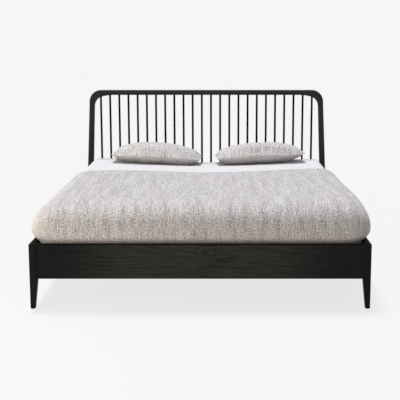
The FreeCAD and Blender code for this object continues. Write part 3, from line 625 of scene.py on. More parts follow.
def dress(finishes: Finishes) -> None:
    """Gives the carried-over nodes their finishes in place of their plain ones.

    Args:
        finishes: The bed's materials.
    """
    for key, names in CARRIED_OVER.items():
        for name in names:
            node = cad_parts[name]
            if not node.material_slots:
                node.data.materials.append(finishes[key])
            for slot in node.material_slots:
                slot.link = "OBJECT"
                slot.material = finishes[key]
    log.info("carried-over nodes dressed, with %d spindles", len(SPINDLES))


# Meshes

def linked(name: str, data: Any) -> bpy.types.Object:
    """Puts a mesh, lamp or camera into the scene as an object.

    Args:
        name: The object's name.
        data: The mesh, lamp or camera.

    Returns:
        The new object.
    """
    made = bpy.data.objects.new(name, data)
    bpy.context.scene.collection.objects.link(made)
    return made


def new_piece(name: str, skin: Skin, finish: Material, body: str, node: str = "",
              crease_angle: float = 40.0) -> bpy.types.Object:
    """Makes a smooth-shaded mesh piece and places it on its body.

    Args:
        name: The piece's name.
        skin: Its vertices, faces and texture coordinates in metres.
        finish: The piece's material.
        body: The body that it rides on.
        node: The node that it stands for, if any.
        crease_angle: Edges sharper than this, in degrees, stay crisp.

    Returns:
        The new object.
    """
    points, faces, uvs = skin
    mesh = bpy.data.meshes.new(name)
    mesh.from_pydata(points.tolist(), [], [tuple(int(i) for i in face) for face in faces])
    mesh.validate()
    layer = mesh.uv_layers.new(name="cloth")
    corners = np.zeros(len(mesh.loops), np.int32)
    mesh.loops.foreach_get("vertex_index", corners)
    layer.data.foreach_set("uv", uvs[corners].astype(np.float32).ravel())
    mesh.materials.append(finish)
    mesh.polygons.foreach_set("use_smooth", [True] * len(mesh.polygons))
    mesh.set_sharp_from_angle(angle=math.radians(crease_angle))
    piece = linked(name, mesh)
    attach(piece, body)
    if node:
        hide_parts(node)
    return piece


def subdivided(piece: bpy.types.Object) -> None:
    """Rounds a piece by one subdivision."""
    smooth = piece.modifiers.new("rounding", "SUBSURF")
    smooth.levels = smooth.render_levels = 1


def points_of(piece: bpy.types.Object) -> Array:
    """A mesh piece's vertices, one row each."""
    return np.array([tuple(vertex.co) for vertex in piece.data.vertices])


def move_points(piece: bpy.types.Object, points: Array) -> None:
    """Moves a mesh piece's vertices to new places, one row each."""
    piece.data.vertices.foreach_set("co", points.astype(np.float32).ravel())
    piece.data.update()


def grid_faces(index: Array, flipped: bool = False, closed: bool = False) -> Faces:
    """Quads of a grid of vertices.

    Args:
        index: The grid's vertex numbers, by rows and columns.
        flipped: Turns the faces over.
        closed: Joins each row's last vertex to its first.

    Returns:
        The quads' vertex numbers.
    """
    if closed:
        index = np.concatenate([index, index[:, :1]], axis=1)
    quads = np.stack([index[:-1, :-1], index[:-1, 1:], index[1:, 1:], index[1:, :-1]],
                     axis=2).reshape(-1, 4)
    return [tuple(quad) for quad in (quads[:, ::-1] if flipped else quads).tolist()]


def grid_index(shape: Sequence[int]) -> Array:
    """Vertex numbers of a grid, by rows and columns."""
    return np.arange(shape[0] * shape[1]).reshape(shape[0], shape[1])


def rim_of(index: Array) -> Array:
    """Vertex numbers round the edge of a grid of them."""
    return np.concatenate([index[0, :-1], index[:-1, -1], index[-1, :0:-1], index[:0:-1, 0]])


def lofted(rings: Array, capped: bool = True) -> Skin:
    """A skin through rings, with texture coordinates in metres.

    Args:
        rings: Rings by points by coordinates.
        capped: Closes the first and the last ring.

    Returns:
        Vertices, faces and texture coordinates.
    """
    count, around, _ = rings.shape
    index = grid_index(rings.shape)
    faces = grid_faces(index, closed=True)
    if capped:
        faces += [tuple(index[0, ::-1]), tuple(index[-1])]
    step = np.linalg.norm(np.diff(rings, axis=1), axis=2).mean(0)
    across = np.concatenate([[0.0], np.cumsum(step)])
    along = np.concatenate([[0.0], np.cumsum(np.linalg.norm(
        np.diff(rings.mean(1), axis=0), axis=1))])
    uvs = np.stack([np.tile(across, count), np.repeat(along, around)], axis=1)
    return rings.reshape(-1, 3), faces, uvs


def rounded_section(middle: Vector, across: Vector, deep: Vector, half_width: float,
                    half_depth: float, radii: Sequence[float], facets: int = 6) -> Ring:
    """Points round a rectangle with rounded corners.

    Args:
        middle: The section's middle.
        across: Unit vector of its width.
        deep: Unit vector of its depth.
        half_width: Half of its width.
        half_depth: Half of its depth.
        radii: Rounding of the corners (+,+), (-,+), (-,-) and (+,-).
        facets: Steps in each rounded corner.

    Returns:
        The points in order.
    """
    points = []
    for turn, ((side, face), radius) in enumerate(zip(((1, 1), (-1, 1), (-1, -1), (1, -1)),
                                                      radii)):
        for facet in range(facets + 1):
            angle = math.pi / 2 * (turn + facet / facets)
            points.append(middle
                          + across * (side * (half_width - radius) + radius * math.cos(angle))
                          + deep * (face * (half_depth - radius) + radius * math.sin(angle)))
    return points


def upright_ring(x0: float, x1: float, y0: float, y1: float, z: float,
                 radii: Sequence[float]) -> Ring:
    """A level rounded section between two corners."""
    middle = Vector(((x0 + x1) / 2, (y0 + y1) / 2, z))
    return rounded_section(middle, X_AXIS, Y_AXIS, (x1 - x0) / 2, (y1 - y0) / 2, radii)


def as_rings(rings: Sequence[Ring], mirror: bool = False) -> Array:
    """Rings as one array.

    Args:
        rings: The rings.
        mirror: Mirrors them in X.

    Returns:
        Rings by points by coordinates.
    """
    made = np.array([[tuple(point) for point in ring] for ring in rings], float)
    if mirror:
        made[:, :, 0] *= -1.0
        made = made[:, ::-1]
    return made


def tube(path: Array, radius: float, sides: int = 8) -> Skin:
    """An endless tube round a closed path.

    Args:
        path: Points of the closed path.
        radius: The tube's radius.
        sides: Number of its sides.

    Returns:
        Vertices, faces and texture coordinates.
    """
    ahead = np.roll(path, -1, axis=0) - np.roll(path, 1, axis=0)
    ahead /= np.linalg.norm(ahead, axis=1)[:, None]
    side = np.cross(ahead, (0.0, 0.0, 1.0))
    side /= np.maximum(np.linalg.norm(side, axis=1), TINY)[:, None]
    up = np.cross(side, ahead)
    turns = np.arange(sides) * 2 * math.pi / sides
    rings = (path[:, None] + radius * (side[:, None] * np.cos(turns)[None, :, None]
                                       + up[:, None] * np.sin(turns)[None, :, None]))
    return lofted(np.concatenate([rings, rings[:1]]), capped=False)


# Timber frame

@dataclass
class Joinery:
    """Pieces of oak that are rebuilt with smooth edges in place of their solids."""

    finishes: Finishes

    def mirrored(self, pieces: dict[str, Sequence[Ring]], finish: str) -> None:
        """Makes the pieces' left copies, mirrored, and then their right ones as drawn.

        Args:
            pieces: Rings of the right copies, by the start of the node's name.
            finish: Their finish.
        """
        for side, mirror in (("left", True), ("right", False)):
            for start, rings in pieces.items():
                self.smooth(start + side, as_rings(rings, mirror), finish)

    def smooth(self, node: str, rings: Array, finish: str) -> None:
        """Makes the smooth skin of an oak node."""
        new_piece(node + "_smooth", lofted(rings), self.finishes[finish], "bed_frame",
                  node)


@dataclass
class FootEnd(Joinery):
    """Foot legs with soft edges, tapered on two faces."""

    face: float = 0.044
    depth: float = 0.048
    foot_face: float = 0.028
    foot_depth: float = 0.030
    foot_easing: float = 0.0008
    outer_rounding: float = 0.007
    inner_rounding: float = 0.004
    top_easing: float = 0.0025

    def leg_ring(self, z: float, face: float, depth: float, inset: float = 0.0) -> Ring:
        """One level section of the right leg, drawn in by an inset."""
        inner, outer = self.inner_rounding - inset, self.outer_rounding - inset
        return upright_ring(HALF_WIDTH - face + inset, HALF_WIDTH - inset, FOOT_Y + inset,
                            FOOT_Y + depth - inset, z, (inner, inner, inner, outer))

    def build(self) -> None:
        """Builds the legs from the glide to the eased top."""
        rings = [self.leg_ring(GLIDE_TOP, self.foot_face, self.foot_depth, self.foot_easing),
                 self.leg_ring(GLIDE_TOP + self.foot_easing, self.foot_face, self.foot_depth),
                 self.leg_ring(RAIL_BOTTOM, self.face, self.depth)]
        for turn in (0.0, 0.3, 0.6, 0.85, 1.0):
            angle = turn * math.pi / 2
            rings.append(self.leg_ring(
                RAIL_TOP - self.top_easing * (1 - math.sin(angle)), self.face, self.depth,
                self.top_easing * (1 - math.cos(angle))))
        self.mirrored({"foot_leg_": rings}, "leg")
        log.info("two foot legs")


@dataclass
class Headboard(Joinery):
    """Splayed posts, rounded corners and top rail of the arch."""

    height: float = 1.100
    frame_depth: float = 0.040
    rounding: float = 0.013
    post_width: float = 0.046
    foot_width: float = 0.034
    foot_depth: float = 0.032
    lower_rounding: float = 0.006
    outer_splay: float = 0.0464
    inner_splay: float = 0.0400
    top_rail_height: float = 0.040
    outer_radius: float = 0.093
    inner_radius: float = 0.082
    tail_radius: float = 0.400
    tail_angle: float = math.radians(14.0)
    turn_steps: int = 20
    tail_steps: int = 8

    def outer_x(self, z: float) -> float:
        """Outer face of the right post at a height above the rails."""
        return HALF_WIDTH - self.outer_splay * (z - RAIL_TOP)

    def inner_x(self, z: float) -> float:
        """Inner face of the right post at a height above the rails."""
        return HALF_WIDTH - self.post_width - self.inner_splay * (z - RAIL_TOP)

    def outer_point(self, centre: Vector, angle: float) -> Vector:
        """Where a ray from a centre inside the arch meets its outer line.

        Args:
            centre: The ray's start.
            angle: The ray's angle above the X axis.

        Returns:
            The point on the outer line.
        """
        ray = Vector((math.cos(angle), 0, math.sin(angle)))
        lean = math.atan(self.outer_splay)
        turn_z = self.height - self.outer_radius
        turn = Vector((self.outer_x(turn_z) - self.outer_radius / math.cos(lean),
                       centre.y, turn_z))
        on_post = centre + ray * ((self.outer_x(centre.z) - centre.x)
                                  / (ray.x + self.outer_splay * ray.z))
        if on_post.z <= turn_z + self.outer_radius * math.sin(lean):
            return on_post
        on_top = centre + ray * ((self.height - centre.z) / ray.z)
        if on_top.x <= turn.x:
            return on_top
        offset = centre - turn
        along = offset.dot(ray)
        reach = math.sqrt(along ** 2 - offset.length_squared + self.outer_radius ** 2) - along
        return centre + ray * reach

    def corner_rings(self) -> list[Ring]:
        """Sections of the right corner, from the post to the top rail.

        Returns:
            The sections.
        """
        lean = math.atan(self.inner_splay)
        run, drop = math.sin(self.tail_angle), 1 - math.cos(self.tail_angle)
        turn_run = self.inner_radius * (math.cos(lean) - run)
        turn_drop = self.inner_radius * (math.cos(self.tail_angle) - math.sin(lean))
        foot_z = self.height - self.top_rail_height - self.tail_radius * drop - turn_drop
        foot = Vector((self.inner_x(foot_z), HEAD_Y - self.frame_depth / 2, foot_z))
        start = foot + Vector((-turn_run - self.tail_radius * run, 0,
                               turn_drop + self.tail_radius * drop))
        turn_centre = foot - Vector((math.cos(lean), 0, math.sin(lean))) * self.inner_radius
        tail_centre = start - Z_AXIS * self.tail_radius
        turn_end = math.pi / 2 - self.tail_angle
        rays = [(turn_centre, self.inner_radius, lean + (turn_end - lean) * i / self.turn_steps)
                for i in range(self.turn_steps + 1)]
        rays += [(tail_centre, self.tail_radius,
                  turn_end + self.tail_angle * (i + 1) / self.tail_steps)
                 for i in range(self.tail_steps)]
        return [self.arch_ring(centre + Vector((math.cos(a), 0, math.sin(a))) * radius,
                               self.outer_point(centre, a)) for centre, radius, a in rays]

    def arch_ring(self, inner: Vector, outer: Vector) -> Ring:
        """The arch's section across the line from an inner to an outer point."""
        across = outer - inner
        return rounded_section((inner + outer) / 2, across.normalized(), Y_AXIS,
                               across.length / 2, self.frame_depth / 2, (self.rounding,) * 4)

    def build(self) -> None:
        """Builds the posts, the corners and the top rail."""
        corner = self.corner_rings()
        post = [upright_ring(HALF_WIDTH - width, HALF_WIDTH, HEAD_Y - depth, HEAD_Y, z,
                             (self.lower_rounding,) * 4)
                for width, depth, z in ((self.foot_width, self.foot_depth, GLIDE_TOP),
                                        (self.post_width, self.frame_depth, RAIL_BOTTOM),
                                        (self.post_width, self.frame_depth, RAIL_TOP))]
        self.mirrored({"head_post_": post + corner[:1], "head_corner_": corner}, "arch")
        end = as_rings(corner[-1:])
        self.smooth("head_top_rail", np.concatenate([end, end * (-1.0, 1.0, 1.0)]), "arch")
        log.info("headboard's arch")


# Bedding

def ripple(x: float, y: float, size: float, seed: float) -> float:
    """Smooth noise from -1 to 1 at a place, with features of a size in metres."""
    return noise.noise(Vector((x / size, y / size, seed)))


def ripples(x: Array, y: Array, *layers: tuple[float, float, float]) -> Array:
    """A sum of layers of smooth noise over places.

    Args:
        x: Places across.
        y: Places along.
        *layers: Height, feature size in metres and seed of each layer.

    Returns:
        The sum at each place.
    """
    return np.vectorize(lambda a, b: sum(height * ripple(a, b, size, seed)
                                         for height, size, seed in layers))(x, y)


def bump_at(value: Array, middle: float, reach: float) -> Array:
    """A smooth bell round a middle, 1 at the middle."""
    return np.exp(-((value - middle) / reach) ** 2)


def eased(value: Array, start: float, end: float) -> Array:
    """A smooth step from 0 at start to 1 at end."""
    share = np.clip((value - start) / (end - start), 0.0, 1.0)
    return share * share * (3 - 2 * share)


def bed_dip(x: Array, y: Array) -> Array:
    """How far the mattress sinks under the pillows and rises beside them, across and along."""
    near_head = 0.30 * eased(y, -0.5, 0.3) + 0.70 * eased(y, 0.5, 1.0)
    return near_head * (-0.031 * bump_at(x, 0.03, 0.38) + 0.004 * bump_at(x, -0.66, 0.25)
                        - 0.004 * eased(x, -0.3, 0.8))


def normals_of(points: Array) -> Array:
    """Unit normals of a grid of points, by rows and columns, upwards on the top."""
    normal = np.cross(np.gradient(points, axis=1), np.gradient(points, axis=0))
    return normal / np.maximum(np.linalg.norm(normal, axis=2)[:, :, None], TINY)


def spread(start: float, end: float, step: float) -> Array:
    """Evenly spread values from start to end, about a step apart."""
    return np.linspace(start, end, max(3, round((end - start) / step)) + 1)


@dataclass
class Cover:
    """A layer over the mattress that turns down over its sides.

    Attributes:
        finishes: The bed's materials.
        half_width: Half-width at the widest line.
        front: Y of the widest line at the foot end.
        back: Y of the hem, or of the widest line at the head where it wraps.
        top: Height of its top.
        cell: Size of the mesh's cells.
        corner_power: Squareness of the corners in plan.
        rolled: Length of the rolled hem at the back, or 0 where it turns down there too.
        fade: Share of the way down the side over which the relief dies out.
    """

    finishes: Finishes
    half_width: float
    front: float
    back: float
    top: float
    cell: float = 0.022
    corner_power: float = 2.4
    rolled: float = 0.0
    fade: float = 0.6

    def profile(self) -> Profile:
        """Insets from the widest line with their heights, from the top to the hem."""
        raise NotImplementedError

    def relief(self, x: Array, y: Array) -> Array:
        """Rise of the top at each place."""
        return bed_dip(x, y)

    def eased_edge(self, radius: float) -> Profile:
        """The rounded edge of the top."""
        return [(radius * (1 - math.cos(turn)), self.top - radius * (1 - math.sin(turn)))
                for turn in np.linspace(math.pi / 2, 0.0, 9)]

    def grid(self) -> tuple[Array, Array, Array]:
        """Points of the layer's outer face.

        Returns:
            Points, texture coordinates in metres and the distance down the side, by rows
            along the bed and columns across it.
        """
        inset, height = np.array(self.profile()).T
        down = np.concatenate([[0.0], np.cumsum(np.hypot(np.diff(inset), np.diff(height)))])
        reach, shoulder = down[-1], inset[0]
        wraps_head = not self.rolled
        flat_x = self.half_width - shoulder
        flat_front = self.front + shoulder
        flat_back = self.back - (self.rolled or shoulder)
        side = spread(0.0, reach, self.cell)
        across = np.concatenate([-flat_x - side[:0:-1], spread(-flat_x, flat_x, self.cell),
                                 flat_x + side[1:]])
        roll = self.rolled * np.sin(np.linspace(0.0, math.pi / 2, 6))[1:]
        along = np.concatenate([flat_front - side[:0:-1],
                                spread(flat_front, flat_back, self.cell),
                                flat_back + (side[1:] if wraps_head else roll)])
        u, v = np.meshgrid(across, along)
        a = np.maximum(np.abs(u) - flat_x, 0.0)
        behind = v - flat_back if wraps_head else np.zeros_like(v)
        b = np.maximum(np.maximum(flat_front - v, behind), 0.0)
        ring = np.maximum(a, b)
        share = np.minimum(a, b) / np.maximum(ring, TINY) * math.pi / 4
        turn = np.where(a >= b, share, math.pi / 2 - share)
        turn = np.where(ring > 0, turn, 0.0)
        power = 2 / self.corner_power
        out = shoulder - np.interp(ring, down, inset)
        x = np.where(a > 0, np.sign(u) * (flat_x + out * np.cos(turn) ** power), u)
        y = np.where(b > 0, np.where(v < flat_front, flat_front - out * np.sin(turn) ** power,
                                     flat_back + out * np.sin(turn) ** power), v)
        fade = np.clip(1.0 - ring / (self.fade * reach), 0.0, 1.0)
        z = np.interp(ring, down, height) + self.relief(x, y) * fade * fade * (3 - 2 * fade)
        return np.stack([x, y, z], axis=2), np.stack([u, v], axis=2), ring


@dataclass
class Mattress(Cover):
    """Mattress under the sheet, with piping round its lower edge."""

    half_width: float = 0.900
    front: float = -1.010
    back: float = 0.990
    top: float = 0.5585
    cell: float = 0.03
    bottom: float = 0.3363
    edge_radius: float = 0.040
    lower_easing: float = 0.010
    piping_radius: float = 0.0035
    piping_rise: float = 0.006
    piping_share: float = 0.004

    def profile(self) -> Profile:
        """The rounded edge, the side and the eased lower edge."""
        return self.eased_edge(self.edge_radius) + [
            (0.0, self.bottom + self.lower_easing), (self.lower_easing, self.bottom)]

    def build(self) -> None:
        """Builds the mattress with its flat underside and piping."""
        points, uvs, _ = self.grid()
        index = grid_index(points.shape)
        rim = rim_of(index)
        points, uvs = points.reshape(-1, 3), uvs.reshape(-1, 2)
        mattress = new_piece("mattress_padded",
                             (points, grid_faces(index) + [tuple(rim[::-1])], uvs),
                             self.finishes["ticking"], "mattress_set", "mattress")
        path = points[rim]
        path = (path + (path - path.mean(0)) * (self.piping_share, self.piping_share, 0.0)
                + (0.0, 0.0, self.piping_rise))
        new_piece("mattress_piping", tube(path, self.piping_radius), self.finishes["cotton"],
                  "mattress_set")
        log.info("mattress with piping")


@dataclass
class FittedSheet(Cover):
    """Fitted sheet, taut on the mattress with slight creases."""

    half_width: float = 0.9025
    front: float = -1.0125
    back: float = 0.9925
    top: float = 0.5625
    hem: float = 0.3463
    edge_radius: float = 0.0425
    crease_depth: float = 0.0016

    def profile(self) -> Profile:
        """The rounded edge and the side."""
        return self.eased_edge(self.edge_radius) + [(0.0, self.hem)]

    def build(self) -> None:
        """Builds the sheet with its creases in place of its node."""
        points, uvs, ring = self.grid()
        u, v = uvs[..., 0], uvs[..., 1]
        crease = ripples(u, v, (1.0, 0.13, 3.1)) + ripples(u, v * 0.45, (0.7, 0.055, 7.7))
        depth = self.crease_depth * (1.0 - 0.5 * eased(ring, 0.0, 0.05))
        points = points + normals_of(points) * (depth * (crease - 0.8))[..., None]
        sheet = new_piece("fitted_sheet_cloth",
                          (points.reshape(-1, 3), grid_faces(grid_index(points.shape)),
                           uvs.reshape(-1, 2)), self.finishes["cotton"], "mattress_set",
                          "fitted_sheet", 80.0)
        log.info("fitted sheet")


@dataclass
class Blanket(Cover):
    """Heathered blanket: full over the foot end and the sides, tucked inside the rails."""

    half_width: float = 0.961
    front: float = -1.078
    back: float = 0.262
    top: float = 0.5965
    corner_power: float = 2.7
    rolled: float = 0.012
    widest: float = 0.452
    rail: float = 0.3800
    hem: float = 0.350
    tuck: float = 0.0315
    shoulder: float = 0.165
    power: float = 2.4
    thickness: float = 0.018
    hem_fall: float = 0.0155
    fall_length: float = 0.24
    hem_reach: float = 0.5

    def profile(self) -> Profile:
        """The bulging side, from the top to the tucked hem.

        Returns:
            Insets and heights.
        """
        share = 2 / self.power
        upper = [(self.shoulder * (1 - math.cos(turn) ** share), self.widest
                  + (self.top - self.widest) * math.sin(turn) ** share)
                 for turn in np.linspace(math.pi / 2, 0.0, 19)]
        upper[0] = (self.shoulder, self.top)
        lower = [(self.tuck * (1 - math.cos(turn) ** share), self.widest
                  - (self.widest - self.rail) * math.sin(turn) ** share)
                 for turn in np.linspace(0.0, math.pi / 2, 9)[1:-1]]
        return upper + lower + [(self.tuck, self.rail), (self.tuck, self.hem)]

    def relief(self, x: Array, y: Array) -> Array:
        """Rise of the blanket's top: soft hollows, and a fall towards its hem.

        Args:
            x: Places across the bed.
            y: Places along the bed.

        Returns:
            The rise at each place.
        """
        soft = ripples(x, y, (0.0040, 0.42, 1.3), (0.0014, 0.13, 5.9))
        fall = np.clip((y - self.back + self.fall_length) / self.fall_length, 0.0, 1.0)
        return soft * (1.0 - fall) + bed_dip(x, y) - self.hem_fall * fall * fall

    def swell(self, points: Array) -> Array:
        """How far the sides stand out where the bedding is fuller or slacker.

        Args:
            points: Points of the cover.

        Returns:
            The shift of each point in X.
        """
        x, y, z = np.moveaxis(points, 2, 0)
        side = eased(np.abs(x), 0.70, 0.95)
        high = eased(z, 0.44, 0.54)
        near = 1.0 - 0.8 * eased(y, -0.7, 0.1)
        clear = eased(z, 0.379, 0.42)
        left = (0.012 * (1.0 - high) * near - 0.019 * high * bump_at(y, -0.05, 0.5)
                - 0.009 * high * bump_at(y, -0.8, 0.3))
        right = 0.019 * (1.0 - high) * near + 0.026 * high * bump_at(y, -0.62, 0.42)
        return side * clear * np.where(x < 0, -left, right)

    def hem_line(self, points: Array) -> Array:
        """How far the hem wanders along the bed, fading away from it.

        Args:
            points: Points of the cover.

        Returns:
            The shift of each point in Y.
        """
        x, y = points[..., 0], points[..., 1]
        wander = (-0.040 * bump_at(x, -0.02, 0.35) - 0.035 * eased(-x, 0.60, 0.95)
                  + 0.085 * eased(x, 0.30, 0.85))
        return wander * eased(y, self.back - self.hem_reach, self.back)

    def build(self) -> None:
        """Builds the blanket as one closed, softly padded layer in place of its node."""
        points, uvs, _ = self.grid()
        points[..., 0] += self.swell(points)
        normal = normals_of(points)
        over = np.clip((uvs[..., 1] - self.back + self.rolled) / self.rolled, 0.0, 1.0)
        share = (0.5 - 0.5 * np.sqrt(1.0 - over ** 2 * 0.998))[..., None] * self.thickness
        points[..., 1] += self.hem_line(points)
        faces_of = np.concatenate([(points - normal * share).reshape(-1, 3),
                                   (points - normal * (self.thickness - share)).reshape(-1, 3)])
        index = grid_index(points.shape)
        faces = grid_faces(index) + grid_faces(index + index.size, True)
        rim = rim_of(index)
        faces += [(b, a, a + index.size, b + index.size) for a, b in zip(rim, np.roll(rim, -1))]
        blanket = new_piece("blanket_cloth",
                            (faces_of, faces, np.tile(uvs.reshape(-1, 2), (2, 1))),
                            self.finishes["blanket"], "mattress_set",
                            "blanket", 180.0)
        subdivided(blanket)


def dome(s: Array, t: Array, outer: Array, flat: tuple[float, float], steep: float,
         along: tuple[int, float]) -> Array:
    """How a pillow's panel falls from its middle, 1, to its rim, 0.

    Args:
        s: Places across, from -1 to 1.
        t: Places along, from -1 to 1.
        outer: How much each place belongs to the pillow's outer end.
        flat: Power of the fall across, and what the outer end adds to it.
        steep: Power of the panel's ends.
        along: Power of the fall along, and power of the long edges.

    Returns:
        The share of the panel's height at each place.
    """
    return ((1 - np.abs(s) ** (flat[0] + flat[1] * outer)) ** (steep + 0.25 * outer)
            * (1 - np.abs(t) ** along[0]) ** along[1])


FILLING = {"quality": 6, "mass": 0.3, "tension_stiffness": 20.0, "compression_stiffness": 20.0,
           "shear_stiffness": 8.0, "bending_stiffness": 0.5, "use_pressure": True,
           "uniform_pressure_force": 4.0}


@dataclass
class Pillow:
    """A filled pillow whose cover is blown up by a short cloth simulation.

    Attributes:
        side: left or right.
        middle: Middle of its footprint on the sheet, before the sheet's dip.
        seed: Varies its fullness.
        lift: Rise of its outer end.
        sag: Fall of its inner end.
        depth: Its size along the bed.
        turn: Its turn about the vertical, in degrees.
        corner: Share by which its sides are drawn in at its corners.
        drawn_in: Share by which its ends are drawn in between the corners.
        narrowed: Share by which its long sides run together towards its ends.
        bunching: How much closer its cells lie at the rim than in the middle.
        cap: How far the simulation may move a point.
        resting: Depth below the seam at which the underside is pressed flat.
        pressed: Share of its bulge that the pressed underside keeps.
        follows: Share of the mattress's dip that it follows.
    """

    finishes: Finishes
    side: str
    middle: tuple[float, float, float]
    seed: float
    lift: float
    sag: float
    depth: float
    turn: float
    length: float = 0.682
    height: float = 0.146
    upper: float = 0.074
    lower: float = 0.060
    lumps: float = 0.08
    corner: float = 0.060
    drawn_in: float = 0.018
    narrowed: float = 0.20
    bunching: float = 1.25
    cell: float = 0.0085
    frames: int = 20
    cap: float = 0.016
    resting: float = 0.050
    pressed: float = 0.15
    follows: float = 0.75
    welt: float = 0.0022

    @property
    def outwards(self) -> float:
        """The side of the bed on which its outer end lies, -1 or 1."""
        return -1.0 if self.side == "left" else 1.0

    def cells(self, size: float) -> Array:
        """Places from -1 to 1 along a side, closer together towards its ends."""
        ends = np.linspace(-1, 1, round(size / self.cell) + 1)
        return np.sin(ends * self.bunching) / math.sin(self.bunching)

    def pouch(self) -> tuple[Skin, Array]:
        """Two crowned panels sewn along their rim.

        Returns:
            Vertices, faces and texture coordinates, and the rim's vertex numbers.
        """
        s, t = np.meshgrid(self.cells(self.length), self.cells(self.depth))
        x = s * self.length / 2 * (1 - self.corner * np.abs(t) ** 8
                                   - self.drawn_in * (1 - t * t))
        y = t * self.depth / 2 * (1 - self.corner * np.abs(s) ** 8
                                  - self.narrowed * np.abs(s) ** 3)
        outer = eased(s * self.outwards, -0.2, 0.4)
        lumps = ripples(x, y, (1.0, 0.15, self.seed), (0.5, 0.07, self.seed + 4.0))
        crown = self.upper * (dome(s, t, outer, (2.0, 0.3), 0.65, (3, 0.80))
                              * (1 + self.lumps * lumps))
        belly = -self.lower * dome(s, t, outer, (3.4, -1.6), 0.70, (4, 0.60))
        index = grid_index(s.shape)
        inside = np.zeros_like(index, bool)
        inside[1:-1, 1:-1] = True
        below = index.copy()
        below[inside] = index.size + np.arange(inside.sum())
        points = np.concatenate([np.stack([x, y, crown], axis=2).reshape(-1, 3),
                                 np.stack([x, y, belly], axis=2)[inside]])
        uvs = np.stack([x, y], axis=2) + self.seed
        uvs = np.concatenate([uvs.reshape(-1, 2), uvs[inside] + 0.9])
        return (points, grid_faces(index) + grid_faces(below, True), uvs), rim_of(index)

    def inflate(self, pillow: bpy.types.Object) -> None:
        """Blows the cover up with Blender's cloth and keeps the result in the mesh.

        Args:
            pillow: The pouch.
        """
        before = points_of(pillow)
        cloth = pillow.modifiers.new("filling", "CLOTH")
        for name, value in FILLING.items():
            setattr(cloth.settings, name, value)
        cloth.settings.effector_weights.gravity = 0.0
        cloth.collision_settings.use_collision = False
        cloth.point_cache.frame_start, cloth.point_cache.frame_end = 1, self.frames
        scene = bpy.context.scene
        for number in range(1, self.frames + 1):
            scene.frame_set(number)
        blown = pillow.evaluated_get(bpy.context.evaluated_depsgraph_get())
        move = points_of(blown) - before
        pillow.modifiers.remove(cloth)
        scene.frame_set(1)
        size = np.linalg.norm(move, axis=1)
        move *= np.minimum(1.0, self.cap / np.maximum(size, TINY))[:, None]
        move_points(pillow, before + move)

    def settle(self, pillow: bpy.types.Object) -> None:
        """Fits the pillow to its size, presses its underside flat and lays it on the sheet.

        Args:
            pillow: The blown-up pillow.
        """
        co = points_of(pillow)
        low, high = co.min(0)[:2], co.max(0)[:2]
        co[:, :2] = (co[:, :2] - (low + high) / 2) / (high - low) * (self.length, self.depth)
        floor = -self.resting
        under = co[:, 2] < floor
        co[under, 2] = floor + (co[under, 2] - floor) * self.pressed
        co[:, 2] -= co[:, 2].min()
        co[:, 2] *= self.height / co[:, 2].max()
        end = co[:, 0] / self.length * 2 * self.outwards
        co[:, 2] += self.lift * np.maximum(end, 0.0) ** 2
        co[:, 2] -= self.sag * np.maximum(-end, 0.0) ** 2
        turn = math.radians(self.turn)
        x, y = co[:, 0].copy(), co[:, 1].copy()
        co[:, 0] = x * math.cos(turn) - y * math.sin(turn)
        co[:, 1] = x * math.sin(turn) + y * math.cos(turn)
        co += np.array(self.middle)
        co[:, 2] += self.follows * bed_dip(co[:, 0], co[:, 1])
        move_points(pillow, co)

    def build(self) -> None:
        """Builds the pillow and the welt along its seam."""
        skin, rim = self.pouch()
        node = "pillow_" + self.side
        body = self.side + "_pillow"
        finish = self.finishes["pillow"]
        pillow = new_piece(node + "_cloth", skin, finish, body, node, 180.0)
        self.inflate(pillow)
        self.settle(pillow)
        subdivided(pillow)
        new_piece(node + "_seam", tube(points_of(pillow)[rim], self.welt, 6), finish,
                  body, crease_angle=180.0)
        log.info("pillow %s", self.side)


# Studio

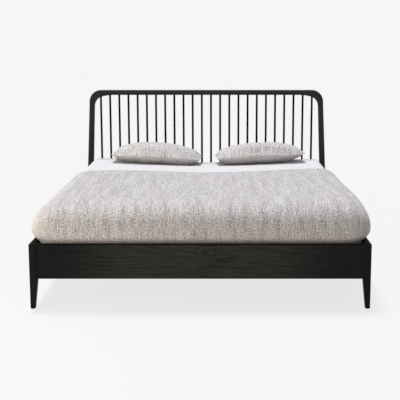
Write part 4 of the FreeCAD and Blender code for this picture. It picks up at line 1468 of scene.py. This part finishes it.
@dataclass
class Studio:
    """Pale floor, soft light and the camera of the photograph.

    Attributes:
        background: Strength of the background, which is also the floor's tone.
        bounced: Colour of the light that the floor gives back.
        glow: Share of the floor's seen tone that doesn't depend on the shadow.
        focal: Focal length in pixels of the picture.
        pitch: Camera's tilt below the horizon in degrees.
        centre: The optical axis in the picture, in pixels.
    """

    background: float = 0.92
    bounced: Colour = (0.57, 0.515, 0.42)
    glow: float = 0.82
    floor_size: float = 60.0
    sky: Colour = (0.295, 0.30, 0.315)
    focal: float = 843.5
    pitch: float = 8.97
    centre: tuple[float, float] = (221.1, 166.9)
    place: tuple[float, float, float] = (0.118, -5.696, 1.544)
    picture: float = 400.0
    sensor: float = 36.0

    def floor(self) -> None:
        """A wide pale floor."""
        mesh = bpy.data.meshes.new("floor")
        size = self.floor_size
        mesh.from_pydata([(-size, -size, 0), (size, -size, 0), (size, size, 0),
                          (-size, size, 0)], [], [(0, 1, 2, 3)])
        mesh.materials.append(PaleFloor("pale_floor", (self.background,) * 3, self.bounced,
                                        self.glow).material())
        linked("floor", mesh)

    def world(self) -> None:
        """An even sky, seen by the camera and in reflections as the pale background."""
        g = Graph("studio", world=True)
        light, back = (g.node("ShaderNodeBackground", inputs={"Color": colour, "Strength": 1.0})
                       for colour in (self.sky, (self.background,) * 3))
        seen = g.rays("Is Camera Ray", "Is Glossy Ray", "Is Transmission Ray")
        bpy.context.scene.world = g.end(g.either(seen, light, back))

    def lamp(self, name: str, kind: str, power: float, colour: Colour,
             towards: Vector) -> bpy.types.Object:
        """A lamp that shines in a direction.

        Args:
            name: The lamp's name.
            kind: Its type.
            power: Its strength.
            colour: Its colour.
            towards: The way its light travels.

        Returns:
            The lamp.
        """
        data = bpy.data.lights.new(name, kind)
        data.energy = power
        data.color = colour
        lamp = linked(name, data)
        lamp.rotation_euler = towards.to_track_quat("-Z", "Y").to_euler()
        return lamp

    def lamps(self) -> None:
        """A broad sun from above, and a warm softbox on the left before the foot end."""
        key = self.lamp("key", "SUN", 2.26, (0.985, 0.985, 1.0), Vector((0.13, -0.25, -1.0)))
        key.data.angle = math.radians(14.0)
        stand, aim = Vector((-3.4, -2.6, 0.75)), Vector((-0.4, -0.9, 0.40))
        softbox = self.lamp("front_left", "AREA", 63.0, (1.0, 0.925, 0.80), aim - stand)
        softbox.data.size = 1.3
        softbox.location = stand
        softbox.visible_glossy = False

    def camera(self) -> None:
        """The camera of the photograph."""
        data = bpy.data.cameras.new("camera")
        data.sensor_width = self.sensor
        data.lens = self.focal / self.picture * self.sensor
        data.shift_x = 0.5 - self.centre[0] / self.picture
        data.shift_y = self.centre[1] / self.picture - 0.5
        camera = linked("camera", data)
        camera.location = self.place
        camera.rotation_euler = (math.radians(90 - self.pitch), 0, 0)
        bpy.context.scene.camera = camera

    def build(self) -> None:
        """Sets up the floor, world, lamps, camera and plain colours."""
        self.floor()
        self.world()
        self.lamps()
        self.camera()
        bpy.context.scene.view_settings.view_transform = "Standard"
        log.info("studio")


def main() -> None:
    """Builds the bed in order."""
    logging.basicConfig(level=logging.INFO, format="%(name)s: %(message)s")
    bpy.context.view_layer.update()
    finishes = {key: finish.material() for key, finish in FINISHES.items()}
    Studio().build()
    dress(finishes)
    for group in (FootEnd, Headboard, Mattress, FittedSheet, Blanket):
        group(finishes).build()
    Pillow(finishes, "left", (-0.380, 0.8450, 0.5635), seed=2.3, lift=0.004, sag=0.016,
           depth=0.390, turn=-3.0).build()
    Pillow(finishes, "right", (0.418, 0.8610, 0.5660), seed=6.1, lift=0.010, sag=0.007,
           depth=0.366, turn=5.0).build()
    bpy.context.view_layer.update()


if __name__ == "__main__":
    main()
